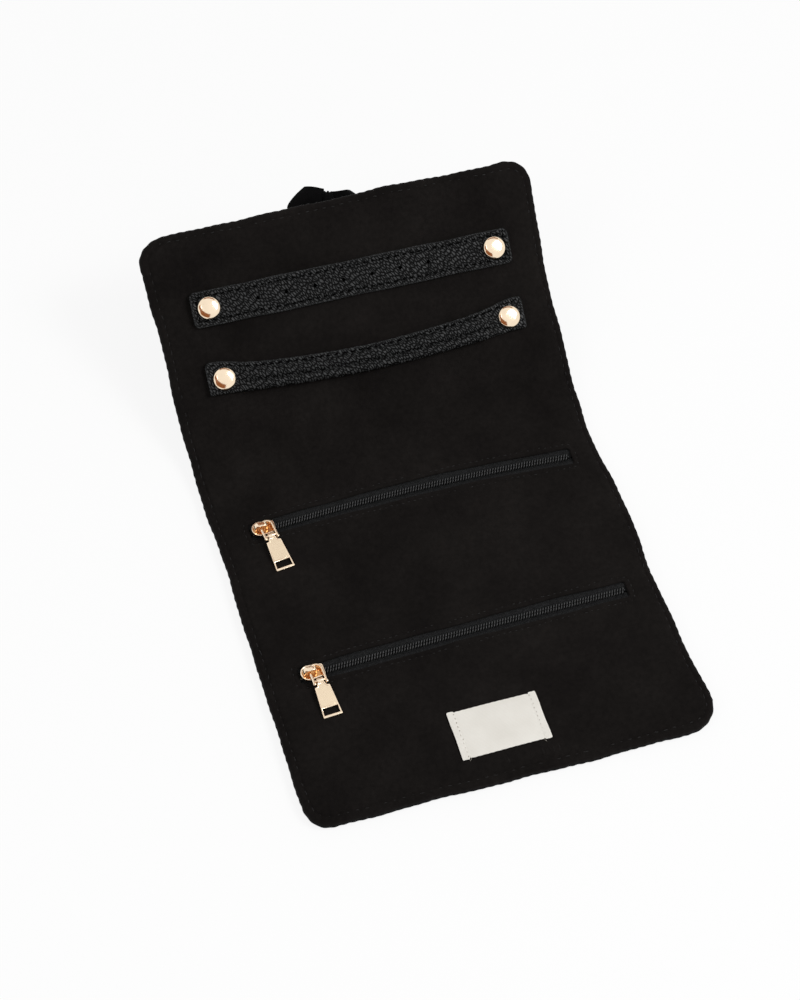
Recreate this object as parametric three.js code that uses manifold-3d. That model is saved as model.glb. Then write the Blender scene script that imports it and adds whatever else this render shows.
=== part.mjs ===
// Tri-fold jewelry roll lying open with its top flap raised.
// Millimetres, +Z up. Origin: centre of the middle panel's underside. +Y runs towards the flap.
import * as THREE from 'three';
import { mergeVertices } from 'three/addons/utils/BufferGeometryUtils.js';
import Module from 'manifold-3d';

const wasm = await Module();
wasm.setup();

// Overall panels
const PANEL_WIDTH = 180;
const MIDDLE_LENGTH = 86;
const BOTTOM_LENGTH = 85;
const SPINE_LENGTH = 24;
const FLAP_LENGTH = 88;
const CORNER_RADIUS = 11;
const REST_FOLD = THREE.MathUtils.degToRad(17);
const FOLD_GAP = 0.6;

// Cloth layers, from the table upwards
const CLEARANCE = 0.3;
const COVER_THICKNESS = 1;
const RIM_WIDTH = 2;
const WADDING_THICKNESS = 1.4;
const POCKET_CLOTH_THICKNESS = 0.4;
const POCKET_SPACE = 1.6;
const TAPE_THICKNESS = 0.4;
const LINING_THICKNESS = 0.8;

// Zips
const ZIP_START_MARGIN = 16.1;
const ZIP_END_MARGIN = 13.75;
const ZIP_WINDOW_HEIGHT = 8;
const ZIP_WINDOW_CORNER = 1;
const TAPE_OVERLAP = 4;
const TAPE_END_OVERLAP = 6;
const COIL_SLIT = 1;
const COIL_WIDTH = 1.6;
const COIL_THICKNESS = 1.5;
const MIDDLE_ZIP_FROM_FOLD = 28.3;
const MIDDLE_ZIP_SLANT = THREE.MathUtils.degToRad(0.58);
const BOTTOM_ZIP_FROM_FOLD = 15.5;
const BOTTOM_ZIP_SLANT = THREE.MathUtils.degToRad(1.25);

// Zip sliders
const SLIDER_LENGTH = 10.4;
const SLIDER_WIDTH = 7.2;
const SLIDER_TAIL_WIDTH = 6;
const SLIDER_PLATE = 0.9;
const SLIDER_FLANGE = 0.7;
const SLIDER_END_GAP = 0.5;
const WEDGE_LENGTH = 5;
const BRIDGE_SPAN = 5;
const BRIDGE_OPENING = 2.8;
const BRIDGE_THICKNESS = 0.9;
const BRIDGE_LEG = 1.2;
const BRIDGE_DEPTH = 1.7;
const BRIDGE_END_INSET = 4;

// Zip pulls
const RING_WIDTH = 6.6;
const RING_LENGTH = 9.4;
const RING_WIRE = 1.1;
const EYE_WALL = 0.5;
const PULL_THICKNESS = 1;
const PULL_NECK_LENGTH = 2.9;
const PULL_NECK_WIDTH = 2.7;
const PULL_LENGTH = 13.8;
const PULL_SHOULDER_WIDTH = 6.8;
const PULL_TIP_WIDTH = 8.6;
const PULL_WINDOW_WIDTH = 6.2;
const PULL_WINDOW_HEIGHT = 2.6;
const PULL_WINDOW_MARGIN = 1.4;
const MIDDLE_PULL_SWING = THREE.MathUtils.degToRad(6.2);
const BOTTOM_PULL_SWING = THREE.MathUtils.degToRad(2.2);

// Holders on the flap
const HOLDER_END_MARGIN = 15.5;
const SNAP_INSET = 7.5;
const ROOT_LENGTH = 14.5;
const EARRING_ROW = 53;
const RING_BAR_ROW = 21;
const STRIP_WIDTH = 16;
const STRIP_CORNER = 2;
const LEATHER_THICKNESS = 1;
const BACKING_THICKNESS = 0.8;
const EARRING_HOLE_COUNT = 7;
const EARRING_HOLE_PITCH = 13.3;
const EARRING_HOLE_RADIUS = 0.7;
const EARRING_HOLES_OFFSET = -4.5;
const TAB_HEIGHT = 15;
const TUBE_DIAMETER = 8;
const TUBE_WALL = 1.2;
const TUBE_END_INSET = 5;
const BAND_WIDTH = 3.5;
const BAR_BOW = 6;

// Press snaps
const CAP_DIAMETER = 10.3;
const CAP_HEIGHT = 1.7;
const CAP_RIM = 0.5;
const POST_DIAMETER = 2;
const SOCKET_DIAMETER = 8;
const SOCKET_HEIGHT = 1.3;
const BALL_DIAMETER = 3.8;
const BALL_NECK_DIAMETER = 3;
const BALL_HEIGHT = 1.2;
const STUD_FLANGE_DIAMETER = 7.2;
const STUD_FLANGE = 0.5;

// Label, closing magnets and bow
const LABEL_WIDTH = 40;
const LABEL_HEIGHT = 22;
const LABEL_THICKNESS = 0.4;
const LABEL_FROM_EDGE = 12;
const MAGNET_DIAMETER = 14;
const MAGNET_MARGIN = 12;
const BOW_OFFSET_X = -5;
const BOW_FROM_EDGE = 1.5;
const BOW_LOOP_LENGTH = 16;
const BOW_LOOP_HEIGHT = 6;
const RIBBON_WIDTH = 18;
const RIBBON_THICKNESS = 0.9;
const BOW_PINCH = 0.5;
const BOW_PINCH_LENGTH = 8;
const BOW_SEAM = 2.5;
const KNOT_WIDTH = 6;
const TAIL_LENGTH = 34;
const TAIL_SPLAY = THREE.MathUtils.degToRad(16);
const TAIL_WIDTH = 13;
const TAIL_NOTCH = 5;

// Heights above the underside that follow from the layers
const WADDING_BOTTOM = COVER_THICKNESS + CLEARANCE;
const POCKET_BOTTOM = WADDING_BOTTOM + WADDING_THICKNESS + CLEARANCE;
const POCKET_TOP = POCKET_BOTTOM + POCKET_CLOTH_THICKNESS;
const TAPE_BOTTOM = POCKET_TOP + POCKET_SPACE;
const TAPE_TOP = TAPE_BOTTOM + TAPE_THICKNESS;
const LINING_BOTTOM = TAPE_TOP + CLEARANCE;
const PANEL_THICKNESS = LINING_BOTTOM + LINING_THICKNESS;
const COIL_BOTTOM = TAPE_TOP + CLEARANCE;
const COIL_TOP = COIL_BOTTOM + COIL_THICKNESS;
const SLIDER_TOP = COIL_TOP + CLEARANCE + SLIDER_PLATE;
const RING_CENTRE_Z = SLIDER_TOP + BRIDGE_OPENING / 2;

// Heights of the snap stack
const STUD_FLANGE_BOTTOM = PANEL_THICKNESS + CLEARANCE;
const STUD_FLANGE_TOP = STUD_FLANGE_BOTTOM + STUD_FLANGE;
const BALL_TOP = STUD_FLANGE_TOP + BALL_HEIGHT;
const SOCKET_BOTTOM = STUD_FLANGE_TOP + CLEARANCE;
const SOCKET_TOP = SOCKET_BOTTOM + SOCKET_HEIGHT;
const LEATHER_BOTTOM = Math.max(SOCKET_TOP, BALL_TOP) + CLEARANCE;
const LEATHER_TOP = LEATHER_BOTTOM + LEATHER_THICKNESS;
const BACKING_TOP = LEATHER_BOTTOM - CLEARANCE;
const BACKING_BOTTOM = BACKING_TOP - BACKING_THICKNESS;
const CAP_BOTTOM = LEATHER_TOP + CLEARANCE;

// Places along the width
const HALF_WIDTH = PANEL_WIDTH / 2;
const ZIP_LEFT = -HALF_WIDTH + ZIP_START_MARGIN;
const ZIP_RIGHT = HALF_WIDTH - ZIP_END_MARGIN;
const HOLDER_END = HALF_WIDTH - HOLDER_END_MARGIN;
const SNAP_X = HOLDER_END - SNAP_INSET;
const ROOT_END = -HOLDER_END + ROOT_LENGTH;

// Curve detail
const CORNER_STEPS = 4;
const ROUND_SIDES = 16;
const PIN_HOLE_SIDES = 8;
const BOW_STEPS = 12;
const DOME_STEPS = 4;
// A cubic curve rises to this share of its control points' height
const CUBIC_CROWN = 0.75;

const MATERIALS = {
  velvet: { color: 0x0d0c0c, roughness: 0.95, metalness: 0 },
  wadding: { color: 0x4a4a4a, roughness: 1, metalness: 0 },
  suede: { color: 0x181616, roughness: 0.95, metalness: 0 },
  pocketCloth: { color: 0x141414, roughness: 0.9, metalness: 0 },
  zipTape: { color: 0x1e2123, roughness: 0.85, metalness: 0 },
  zipCoil: { color: 0x17181a, roughness: 0.5, metalness: 0 },
  leather: { color: 0x28292a, roughness: 0.55, metalness: 0 },
  gold: { color: 0xe6be8c, roughness: 0.18, metalness: 1 },
  label: { color: 0xe4e0d8, roughness: 0.6, metalness: 0 },
  steel: { color: 0x9a9a9a, roughness: 0.4, metalness: 1 },
};
for (const name of Object.keys(MATERIALS)) {
  MATERIALS[name] = new THREE.MeshStandardMaterial(MATERIALS[name]);
}

function addPart(parent, name, geometry, material) {
  const mesh = new THREE.Mesh(geometry, MATERIALS[material]);
  mesh.name = name;
  parent.add(mesh);
  return mesh;
}

// Booleans on closed meshes
const MERGE_DISTANCE = 1e-4;

function toSolid(geometry) {
  const bare = geometry.index ? geometry.toNonIndexed() : geometry.clone();
  bare.deleteAttribute('normal');
  bare.deleteAttribute('uv');
  const merged = mergeVertices(bare, MERGE_DISTANCE);
  return new wasm.Manifold(new wasm.Mesh({
    numProp: 3,
    vertProperties: new Float32Array(merged.attributes.position.array),
    triVerts: new Uint32Array(merged.index.array),
  }));
}

function toGeometry(solid) {
  const mesh = solid.getMesh();
  const geometry = new THREE.BufferGeometry();
  geometry.setAttribute('position', new THREE.BufferAttribute(new Float32Array(mesh.vertProperties), 3));
  geometry.setIndex(new THREE.BufferAttribute(new Uint32Array(mesh.triVerts), 1));
  geometry.computeVertexNormals();
  return geometry;
}

function joined(...geometries) {
  return toGeometry(geometries.map(toSolid).reduce((a, b) => a.add(b)));
}

function cut(geometry, ...tools) {
  return toGeometry(tools.map(toSolid).reduce((a, b) => a.subtract(b), toSolid(geometry)));
}

// A flat piece of the given outline, lying between two heights
function plate(shape, bottom, top) {
  const options = { depth: top - bottom, bevelEnabled: false, curveSegments: CORNER_STEPS };
  return new THREE.ExtrudeGeometry(shape, options).translate(0, 0, bottom);
}

// A rectangle with its corners rounded; radius 0 leaves them square
function roundedRectangle(Path, left, right, low, high, radius) {
  const path = new Path();
  if (radius <= 0) {
    path.moveTo(left, low);
    path.lineTo(right, low);
    path.lineTo(right, high);
    path.lineTo(left, high);
    path.closePath();
    return path;
  }
  path.moveTo(left + radius, low);
  path.lineTo(right - radius, low);
  path.absarc(right - radius, low + radius, radius, -Math.PI / 2, 0, false);
  path.lineTo(right, high - radius);
  path.absarc(right - radius, high - radius, radius, 0, Math.PI / 2, false);
  path.lineTo(left + radius, high);
  path.absarc(left + radius, high - radius, radius, Math.PI / 2, Math.PI, false);
  path.lineTo(left, low + radius);
  path.absarc(left + radius, low + radius, radius, Math.PI, Math.PI * 1.5, false);
  return path;
}

// A circle of straight sides, run anticlockwise
function circle(Path, x, y, radius, sides = ROUND_SIDES) {
  const points = [];
  for (let i = 0; i < sides; i += 1) {
    const angle = (i / sides) * Math.PI * 2;
    points.push(new THREE.Vector2(x + radius * Math.cos(angle), y + radius * Math.sin(angle)));
  }
  return new Path(points);
}

function disc(x, y, radius, bottom, top) {
  return new THREE.CylinderGeometry(radius, radius, top - bottom, ROUND_SIDES)
    .rotateX(Math.PI / 2)
    .translate(x, y, (bottom + top) / 2);
}

function box(left, right, low, high, bottom, top) {
  return new THREE.BoxGeometry(right - left, high - low, top - bottom)
    .translate((left + right) / 2, (low + high) / 2, (bottom + top) / 2);
}

function turned(profile) {
  const points = profile.map(([r, z]) => new THREE.Vector2(r, z));
  return new THREE.LatheGeometry(points, ROUND_SIDES).rotateX(Math.PI / 2);
}

// A panel's outline: square at its fold, rounded at its free end if it has one.
// direction +1 runs the panel towards +Y from its fold, -1 towards -Y.
function panelOutline(start, end, inset, radius, direction) {
  const half = HALF_WIDTH - inset;
  const far = end - (radius > 0 ? inset : 0);
  const shape = new THREE.Shape();
  const round = Math.max(radius - inset, 0);
  shape.moveTo(-half, direction * start);
  shape.lineTo(half, direction * start);
  if (round > 0) {
    const quarter = Math.PI / 2;
    const clockwise = direction < 0;
    shape.lineTo(half, direction * (far - round));
    shape.absarc(half - round, direction * (far - round), round, 0, direction * quarter, clockwise);
    shape.lineTo(-half + round, direction * far);
    const backTo = direction > 0 ? Math.PI : -Math.PI;
    shape.absarc(-half + round, direction * (far - round), round, direction * quarter, backTo, clockwise);
  } else {
    shape.lineTo(half, direction * far);
    shape.lineTo(-half, direction * far);
  }
  shape.closePath();
  return shape;
}

// The padded cloth of one panel: outer cover with turned-up rims, wadding and lining
function addPanel(parent, name, span) {
  const { start, end, radius, direction, waddingTop } = span;
  const outer = panelOutline(start, end, 0, radius, direction);
  const hollowStart = start - RIM_WIDTH;
  const hollowEnd = radius > 0 ? end : end + RIM_WIDTH;
  const hollow = panelOutline(hollowStart, hollowEnd, RIM_WIDTH, radius, direction);
  const tray = cut(plate(outer, 0, TAPE_TOP), plate(hollow, COVER_THICKNESS, TAPE_TOP + RIM_WIDTH));
  addPart(parent, `${name}_cover`, tray, 'velvet');

  const inner = panelOutline(start, end, RIM_WIDTH + CLEARANCE, radius, direction);
  for (const hole of span.waddingHoles ?? []) {
    inner.holes.push(circle(THREE.Path, hole.x, hole.y, hole.radius));
  }
  addPart(parent, `${name}_wadding`, plate(inner, WADDING_BOTTOM, waddingTop), 'wadding');

  const lining = panelOutline(start, end, 0, radius, direction);
  lining.holes.push(...(span.liningHoles ?? []));
  addPart(parent, `${name}_lining`, plate(lining, LINING_BOTTOM, PANEL_THICKNESS), 'suede');
}

function addPocketBack(parent, name, span) {
  const { start, end, radius, direction } = span;
  const outline = panelOutline(start, end, RIM_WIDTH + CLEARANCE, radius, direction);
  addPart(parent, `${name}_pocket_back`, plate(outline, POCKET_BOTTOM, POCKET_TOP), 'pocketCloth');
}

// The opening in the lining over a zip, at the zip's slant
function zipWindow(y, slant) {
  const half = ZIP_WINDOW_HEIGHT / 2;
  const outline = roundedRectangle(THREE.Path, ZIP_LEFT, ZIP_RIGHT, -half, half, ZIP_WINDOW_CORNER);
  const middle = new THREE.Vector2();
  const shift = new THREE.Vector2(0, y);
  return new THREE.Path(
    outline.getPoints(CORNER_STEPS).map((point) => point.rotateAround(middle, slant).add(shift)));
}

// Two tapes, each with its coil, meeting along the zip's centre line; returns the zip's own group
function addZip(parent, name, y, slant) {
  const zip = new THREE.Group();
  zip.position.y = y;
  zip.rotation.z = slant;
  parent.add(zip);
  const inner = COIL_SLIT / 2;
  const tapeOuter = ZIP_WINDOW_HEIGHT / 2 + TAPE_OVERLAP;
  const tapeEnds = [ZIP_LEFT - TAPE_END_OVERLAP, ZIP_RIGHT + TAPE_END_OVERLAP];
  const coilEnds = [ZIP_LEFT + CLEARANCE, ZIP_RIGHT - CLEARANCE];
  for (const [side, sign] of [['upper', 1], ['lower', -1]]) {
    const tapeEdges = [sign * inner, sign * tapeOuter].sort((a, b) => a - b);
    const coilEdges = [sign * inner, sign * (inner + COIL_WIDTH)].sort((a, b) => a - b);
    const tape = box(...tapeEnds, ...tapeEdges, TAPE_BOTTOM, TAPE_TOP);
    const coil = box(...coilEnds, ...coilEdges, COIL_BOTTOM, COIL_TOP);
    addPart(zip, `${name}_zip_tape_${side}`, tape, 'zipTape');
    addPart(zip, `${name}_zip_coil_${side}`, coil, 'zipCoil');
  }
  return zip;
}

// Slider plates seen from above: round at the mouth (-X), narrower at the tail (+X)
function sliderOutline() {
  const nose = SLIDER_WIDTH / 2;
  const tail = SLIDER_TAIL_WIDTH / 2;
  const left = -SLIDER_LENGTH / 2 + nose;
  const right = SLIDER_LENGTH / 2;
  const shape = new THREE.Shape();
  shape.moveTo(right, -tail);
  shape.lineTo(right, tail);
  shape.lineTo(left, nose);
  shape.absarc(left, 0, nose, Math.PI / 2, Math.PI * 1.5, false);
  shape.closePath();
  return shape;
}

const BRIDGE_RIGHT = SLIDER_LENGTH / 2 - BRIDGE_END_INSET;
const BRIDGE_LEFT = BRIDGE_RIGHT - BRIDGE_SPAN;

function sliderBridge() {
  const outerLeft = BRIDGE_LEFT - BRIDGE_LEG / 2;
  const outerRight = BRIDGE_RIGHT + BRIDGE_LEG / 2;
  const foot = SLIDER_TOP - SLIDER_PLATE / 2;
  const ceiling = SLIDER_TOP + BRIDGE_OPENING;
  const crown = ceiling + BRIDGE_THICKNESS;
  const round = BRIDGE_LEG;
  const shape = new THREE.Shape();
  shape.moveTo(outerLeft, foot);
  shape.lineTo(outerLeft + BRIDGE_LEG, foot);
  shape.lineTo(outerLeft + BRIDGE_LEG, ceiling);
  shape.lineTo(outerRight - BRIDGE_LEG, ceiling);
  shape.lineTo(outerRight - BRIDGE_LEG, foot);
  shape.lineTo(outerRight, foot);
  shape.lineTo(outerRight, crown - round);
  shape.absarc(outerRight - round, crown - round, round, 0, Math.PI / 2, false);
  shape.lineTo(outerLeft + round, crown);
  shape.absarc(outerLeft + round, crown - round, round, Math.PI / 2, Math.PI, false);
  shape.closePath();
  return plate(shape, -BRIDGE_DEPTH / 2, BRIDGE_DEPTH / 2).rotateX(Math.PI / 2);
}

function sliderBody() {
  const topBottom = SLIDER_TOP - SLIDER_PLATE;
  const lowerTop = TAPE_BOTTOM - CLEARANCE;
  const lowerBottom = POCKET_TOP + CLEARANCE;
  const flangeInner = COIL_SLIT / 2 + COIL_WIDTH + CLEARANCE;
  const flangeBottom = TAPE_TOP + CLEARANCE;
  const tail = SLIDER_LENGTH / 2;
  const solids = [
    plate(sliderOutline(), topBottom, SLIDER_TOP),
    plate(sliderOutline(), lowerBottom, lowerTop),
    sliderBridge(),
  ];
  const wedgeHalf = COIL_SLIT / 2 - CLEARANCE;
  const wedgeLeft = -SLIDER_LENGTH / 2 + SLIDER_FLANGE;
  const overlap = SLIDER_PLATE / 2;
  const wedgeRight = wedgeLeft + WEDGE_LENGTH;
  solids.push(box(wedgeLeft, wedgeRight, -wedgeHalf, wedgeHalf, lowerTop - overlap, topBottom + overlap));
  for (const sign of [1, -1]) {
    const edges = [sign * flangeInner, sign * (flangeInner + SLIDER_FLANGE)].sort((a, b) => a - b);
    solids.push(box(-tail + SLIDER_WIDTH / 2, tail, ...edges, flangeBottom, topBottom + overlap));
  }
  return joined(...solids);
}

// The ring lies flat, looped round the bridge's right leg, its long side towards -Y
const RING_BAR_Y = RING_WIDTH / 2 - RING_LENGTH + RING_WIRE / 2;

function pullRing() {
  const outer = RING_WIDTH / 2;
  const inner = outer - RING_WIRE;
  const low = outer - RING_LENGTH;
  const stirrup = (Path, half, bottom) => {
    const path = new Path();
    path.moveTo(-half, bottom);
    path.lineTo(half, bottom);
    path.lineTo(half, 0);
    path.absarc(0, 0, half, 0, Math.PI, false);
    path.closePath();
    return path;
  };
  const shape = stirrup(THREE.Shape, outer, low);
  shape.holes.push(stirrup(THREE.Path, inner, low + RING_WIRE));
  return plate(shape, -RING_WIRE / 2, RING_WIRE / 2);
}

// The plate hangs from an eye round the ring's lower bar; local -Y runs to its tip
const EYE_BORE = RING_WIRE / Math.SQRT2 + CLEARANCE / 2;
const EYE_RADIUS = EYE_BORE + EYE_WALL;
const PULL_REACH = PULL_NECK_LENGTH + PULL_LENGTH;

function pullPlate() {
  const neck = PULL_NECK_WIDTH / 2;
  const shoulder = PULL_SHOULDER_WIDTH / 2;
  const tip = PULL_TIP_WIDTH / 2;
  const shape = new THREE.Shape();
  const top = -(EYE_BORE + EYE_RADIUS) / 2;
  shape.moveTo(-neck, top);
  shape.lineTo(-neck, -PULL_NECK_LENGTH);
  shape.lineTo(-shoulder, -PULL_NECK_LENGTH);
  shape.lineTo(-tip, -PULL_REACH);
  shape.lineTo(tip, -PULL_REACH);
  shape.lineTo(shoulder, -PULL_NECK_LENGTH);
  shape.lineTo(neck, -PULL_NECK_LENGTH);
  shape.lineTo(neck, top);
  shape.closePath();
  const windowLow = -PULL_REACH + PULL_WINDOW_MARGIN;
  const windowHalf = PULL_WINDOW_WIDTH / 2;
  shape.holes.push(roundedRectangle(
    THREE.Path, -windowHalf, windowHalf, windowLow, windowLow + PULL_WINDOW_HEIGHT, 0));
  const eyeOutline = circle(THREE.Shape, 0, 0, EYE_RADIUS);
  eyeOutline.holes.push(circle(THREE.Path, 0, 0, EYE_BORE));
  const eye = plate(eyeOutline, -neck, neck).rotateY(Math.PI / 2);
  return joined(plate(shape, -PULL_THICKNESS / 2, PULL_THICKNESS / 2), eye);
}

// The pull droops until its tip lies just above the lining
const PULL_DROP = RING_CENTRE_Z - PULL_THICKNESS / 2 - CLEARANCE - PANEL_THICKNESS;
const PULL_DROOP = Math.asin(PULL_DROP / PULL_REACH);
const SLIDER_REST_X = ZIP_LEFT + SLIDER_END_GAP + SLIDER_LENGTH / 2;

function addSlider(zip, name, swing) {
  const slider = new THREE.Group();
  slider.position.x = SLIDER_REST_X;
  zip.add(slider);
  addPart(slider, `${name}_slider`, sliderBody(), 'gold');
  const ring = new THREE.Group();
  ring.position.set(BRIDGE_RIGHT, 0, RING_CENTRE_Z);
  ring.rotation.z = swing;
  slider.add(ring);
  addPart(ring, `${name}_pull_ring`, pullRing(), 'gold');
  const pull = new THREE.Group();
  pull.position.set(0, RING_BAR_Y, 0);
  pull.rotation.x = PULL_DROOP;
  ring.add(pull);
  addPart(pull, `${name}_pull_plate`, pullPlate(), 'gold');
}

// One press snap: cap and socket ride on the leather, the stud is fixed through the lining
function snapCap() {
  const radius = CAP_DIAMETER / 2;
  const post = POST_DIAMETER / 2;
  const postEnd = BALL_TOP + CLEARANCE;
  const profile = [[0, postEnd], [post, postEnd], [post, CAP_BOTTOM], [radius, CAP_BOTTOM]];
  for (let i = 0; i < DOME_STEPS; i += 1) {
    const angle = (i / DOME_STEPS) * Math.PI / 2;
    const rise = CAP_RIM + (CAP_HEIGHT - CAP_RIM) * Math.sin(angle);
    profile.push([radius * Math.cos(angle), CAP_BOTTOM + rise]);
  }
  profile.push([0, CAP_BOTTOM + CAP_HEIGHT]);
  return turned(profile);
}

function snapSocket() {
  const bore = BALL_DIAMETER / 2 + CLEARANCE;
  const outer = SOCKET_DIAMETER / 2;
  return turned([
    [bore, SOCKET_BOTTOM], [outer, SOCKET_BOTTOM], [outer, SOCKET_TOP],
    [bore, SOCKET_TOP], [bore, SOCKET_BOTTOM],
  ]);
}

const STUD_BACK_TOP = LINING_BOTTOM - CLEARANCE;
const STUD_BACK_BOTTOM = STUD_BACK_TOP - STUD_FLANGE;

function snapStud() {
  const post = POST_DIAMETER / 2;
  const flange = STUD_FLANGE_DIAMETER / 2;
  const ball = BALL_DIAMETER / 2;
  const neck = BALL_NECK_DIAMETER / 2;
  return turned([
    [0, STUD_BACK_BOTTOM], [flange, STUD_BACK_BOTTOM], [flange, STUD_BACK_TOP],
    [post, STUD_BACK_TOP], [post, STUD_FLANGE_BOTTOM],
    [flange, STUD_FLANGE_BOTTOM], [flange, STUD_FLANGE_TOP], [neck, STUD_FLANGE_TOP],
    [ball, STUD_FLANGE_TOP + BALL_HEIGHT / 2], [neck, BALL_TOP], [0, BALL_TOP],
  ]);
}

function addSnap(parent, name, x, y) {
  for (const [part, geometry] of [['cap', snapCap()], ['socket', snapSocket()], ['stud', snapStud()]]) {
    addPart(parent, `${name}_${part}`, geometry.translate(x, y, 0), 'gold');
  }
}

const POST_HOLE = POST_DIAMETER / 2 + CLEARANCE;
const SOCKET_HOLE = SOCKET_DIAMETER / 2 + CLEARANCE;

// The short fixed end of a holder, under the left snap
function holderRoot(y, height) {
  const outline = roundedRectangle(
    THREE.Shape, -HOLDER_END, ROOT_END - CLEARANCE, y - height / 2, y + height / 2, STRIP_CORNER);
  const tools = [
    disc(-SNAP_X, y, SOCKET_HOLE, BACKING_BOTTOM - CLEARANCE, LEATHER_BOTTOM),
    disc(-SNAP_X, y, POST_HOLE, LEATHER_BOTTOM - CLEARANCE, LEATHER_TOP + CLEARANCE),
  ];
  return cut(plate(outline, BACKING_BOTTOM, LEATHER_TOP), ...tools);
}

function earringHoles() {
  const holes = [];
  for (let i = 0; i < EARRING_HOLE_COUNT; i += 1) {
    const x = (i - (EARRING_HOLE_COUNT - 1) / 2) * EARRING_HOLE_PITCH + EARRING_HOLES_OFFSET;
    holes.push(circle(THREE.Path, x, EARRING_ROW, EARRING_HOLE_RADIUS, PIN_HOLE_SIDES));
  }
  return holes;
}

function earringLayer(snapHole) {
  const half = STRIP_WIDTH / 2;
  const shape = roundedRectangle(
    THREE.Shape, ROOT_END + CLEARANCE, HOLDER_END, EARRING_ROW - half, EARRING_ROW + half, STRIP_CORNER);
  shape.holes.push(...earringHoles(), circle(THREE.Path, SNAP_X, EARRING_ROW, snapHole));
  return shape;
}

function addEarringStrip(parent) {
  addPart(parent, 'earring_strip_root', holderRoot(EARRING_ROW, STRIP_WIDTH), 'leather');
  const face = plate(earringLayer(POST_HOLE), LEATHER_BOTTOM, LEATHER_TOP);
  addPart(parent, 'earring_strip_face', face, 'leather');
  const backing = plate(earringLayer(SOCKET_HOLE), BACKING_BOTTOM, BACKING_TOP);
  addPart(parent, 'earring_strip_backing', backing, 'leather');
  addSnap(parent, 'earring_left', -SNAP_X, EARRING_ROW);
  addSnap(parent, 'earring_right', SNAP_X, EARRING_ROW);
}

// The ring bar sags towards the fold between its two ends
const BAR_LEFT = ROOT_END + CLEARANCE;
const BAR_RIGHT = -ROOT_END;

function barBow(x) {
  const share = x / BAR_RIGHT;
  return -BAR_BOW * Math.max(0, 1 - share * share);
}

// A section drawn in the flap's Y and Z, run along X and bowed
function bowedBar(shape, left, right) {
  const depth = right - left;
  const options = { depth, steps: BOW_STEPS, bevelEnabled: false, curveSegments: CORNER_STEPS };
  const geometry = new THREE.ExtrudeGeometry(shape, options);
  const place = geometry.attributes.position;
  for (let i = 0; i < place.count; i += 1) {
    const x = left + place.getZ(i);
    const y = RING_BAR_ROW + place.getX(i) + barBow(x);
    place.setXYZ(i, x, y, place.getY(i));
  }
  return geometry;
}

const TUBE_RADIUS = TUBE_DIAMETER / 2;
const TUBE_CENTRE_Z = PANEL_THICKNESS + CLEARANCE + TUBE_RADIUS;
const TUBE_CENTRE_Y = -BAND_WIDTH / 2;
const BAND_TOP_Y = TUBE_CENTRE_Y + TUBE_RADIUS + BAND_WIDTH;

function tubeSection(radius) {
  return circle(THREE.Shape, TUBE_CENTRE_Y, TUBE_CENTRE_Z, radius);
}

function bandSection() {
  return roundedRectangle(
    THREE.Shape, TUBE_CENTRE_Y + TUBE_RADIUS - TUBE_WALL, BAND_TOP_Y, BACKING_BOTTOM, LEATHER_TOP, 0);
}

function addRingBar(parent) {
  addPart(parent, 'ring_bar_root', holderRoot(RING_BAR_ROW, TAB_HEIGHT), 'leather');
  const bore = TUBE_RADIUS - TUBE_WALL;
  const tubeLeft = BAR_LEFT + TUBE_END_INSET;
  const tubeRight = BAR_RIGHT - TUBE_END_INSET;
  const tabOutline = roundedRectangle(
    THREE.Shape, BAR_RIGHT - CLEARANCE, HOLDER_END,
    RING_BAR_ROW - TAB_HEIGHT / 2, RING_BAR_ROW + TAB_HEIGHT / 2, STRIP_CORNER);
  const tab = cut(
    plate(tabOutline, BACKING_BOTTOM, LEATHER_TOP),
    disc(SNAP_X, RING_BAR_ROW, SOCKET_HOLE, BACKING_BOTTOM - CLEARANCE, LEATHER_BOTTOM),
    disc(SNAP_X, RING_BAR_ROW, POST_HOLE, LEATHER_BOTTOM - CLEARANCE, LEATHER_TOP + CLEARANCE));
  const skin = joined(
    bowedBar(tubeSection(TUBE_RADIUS), tubeLeft, tubeRight),
    bowedBar(bandSection(), BAR_LEFT, BAR_RIGHT + CLEARANCE),
    tab);
  const boreRight = tubeRight + TUBE_END_INSET - CLEARANCE * 2;
  const boring = bowedBar(tubeSection(bore), tubeLeft - TUBE_END_INSET, boreRight);
  addPart(parent, 'ring_bar_sleeve', cut(skin, boring), 'leather');
  addPart(parent, 'ring_bar_core', bowedBar(tubeSection(bore - CLEARANCE), tubeLeft, tubeRight), 'wadding');
  addSnap(parent, 'ring_bar_left', -SNAP_X, RING_BAR_ROW);
  addSnap(parent, 'ring_bar_right', SNAP_X, RING_BAR_ROW);
}

// A bow loop: ribbon folded back on itself, drawn in where the knot grips it
function bowLoop(side) {
  const inner = KNOT_WIDTH / 2 + CLEARANCE;
  const outer = BOW_LOOP_LENGTH;
  const half = BOW_LOOP_HEIGHT / 2;
  const leaf = (Path, left, right, crown) => {
    const high = crown / CUBIC_CROWN;
    const path = new Path();
    path.moveTo(left, 0);
    path.bezierCurveTo(left + high, -high, right, -high, right, 0);
    path.bezierCurveTo(right, high, left + high, high, left, 0);
    return path;
  };
  const shape = leaf(THREE.Shape, inner, outer, half);
  shape.holes.push(leaf(THREE.Path, inner + BOW_SEAM, outer - RIBBON_THICKNESS, half - RIBBON_THICKNESS));
  const geometry = plate(shape, -RIBBON_WIDTH / 2, RIBBON_WIDTH / 2).rotateX(Math.PI / 2);
  const place = geometry.attributes.position;
  for (let i = 0; i < place.count; i += 1) {
    const spread = THREE.MathUtils.smoothstep(place.getX(i), inner, inner + BOW_PINCH_LENGTH);
    place.setY(i, place.getY(i) * (BOW_PINCH + (1 - BOW_PINCH) * spread));
  }
  return side > 0 ? geometry : geometry.rotateZ(Math.PI);
}

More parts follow.
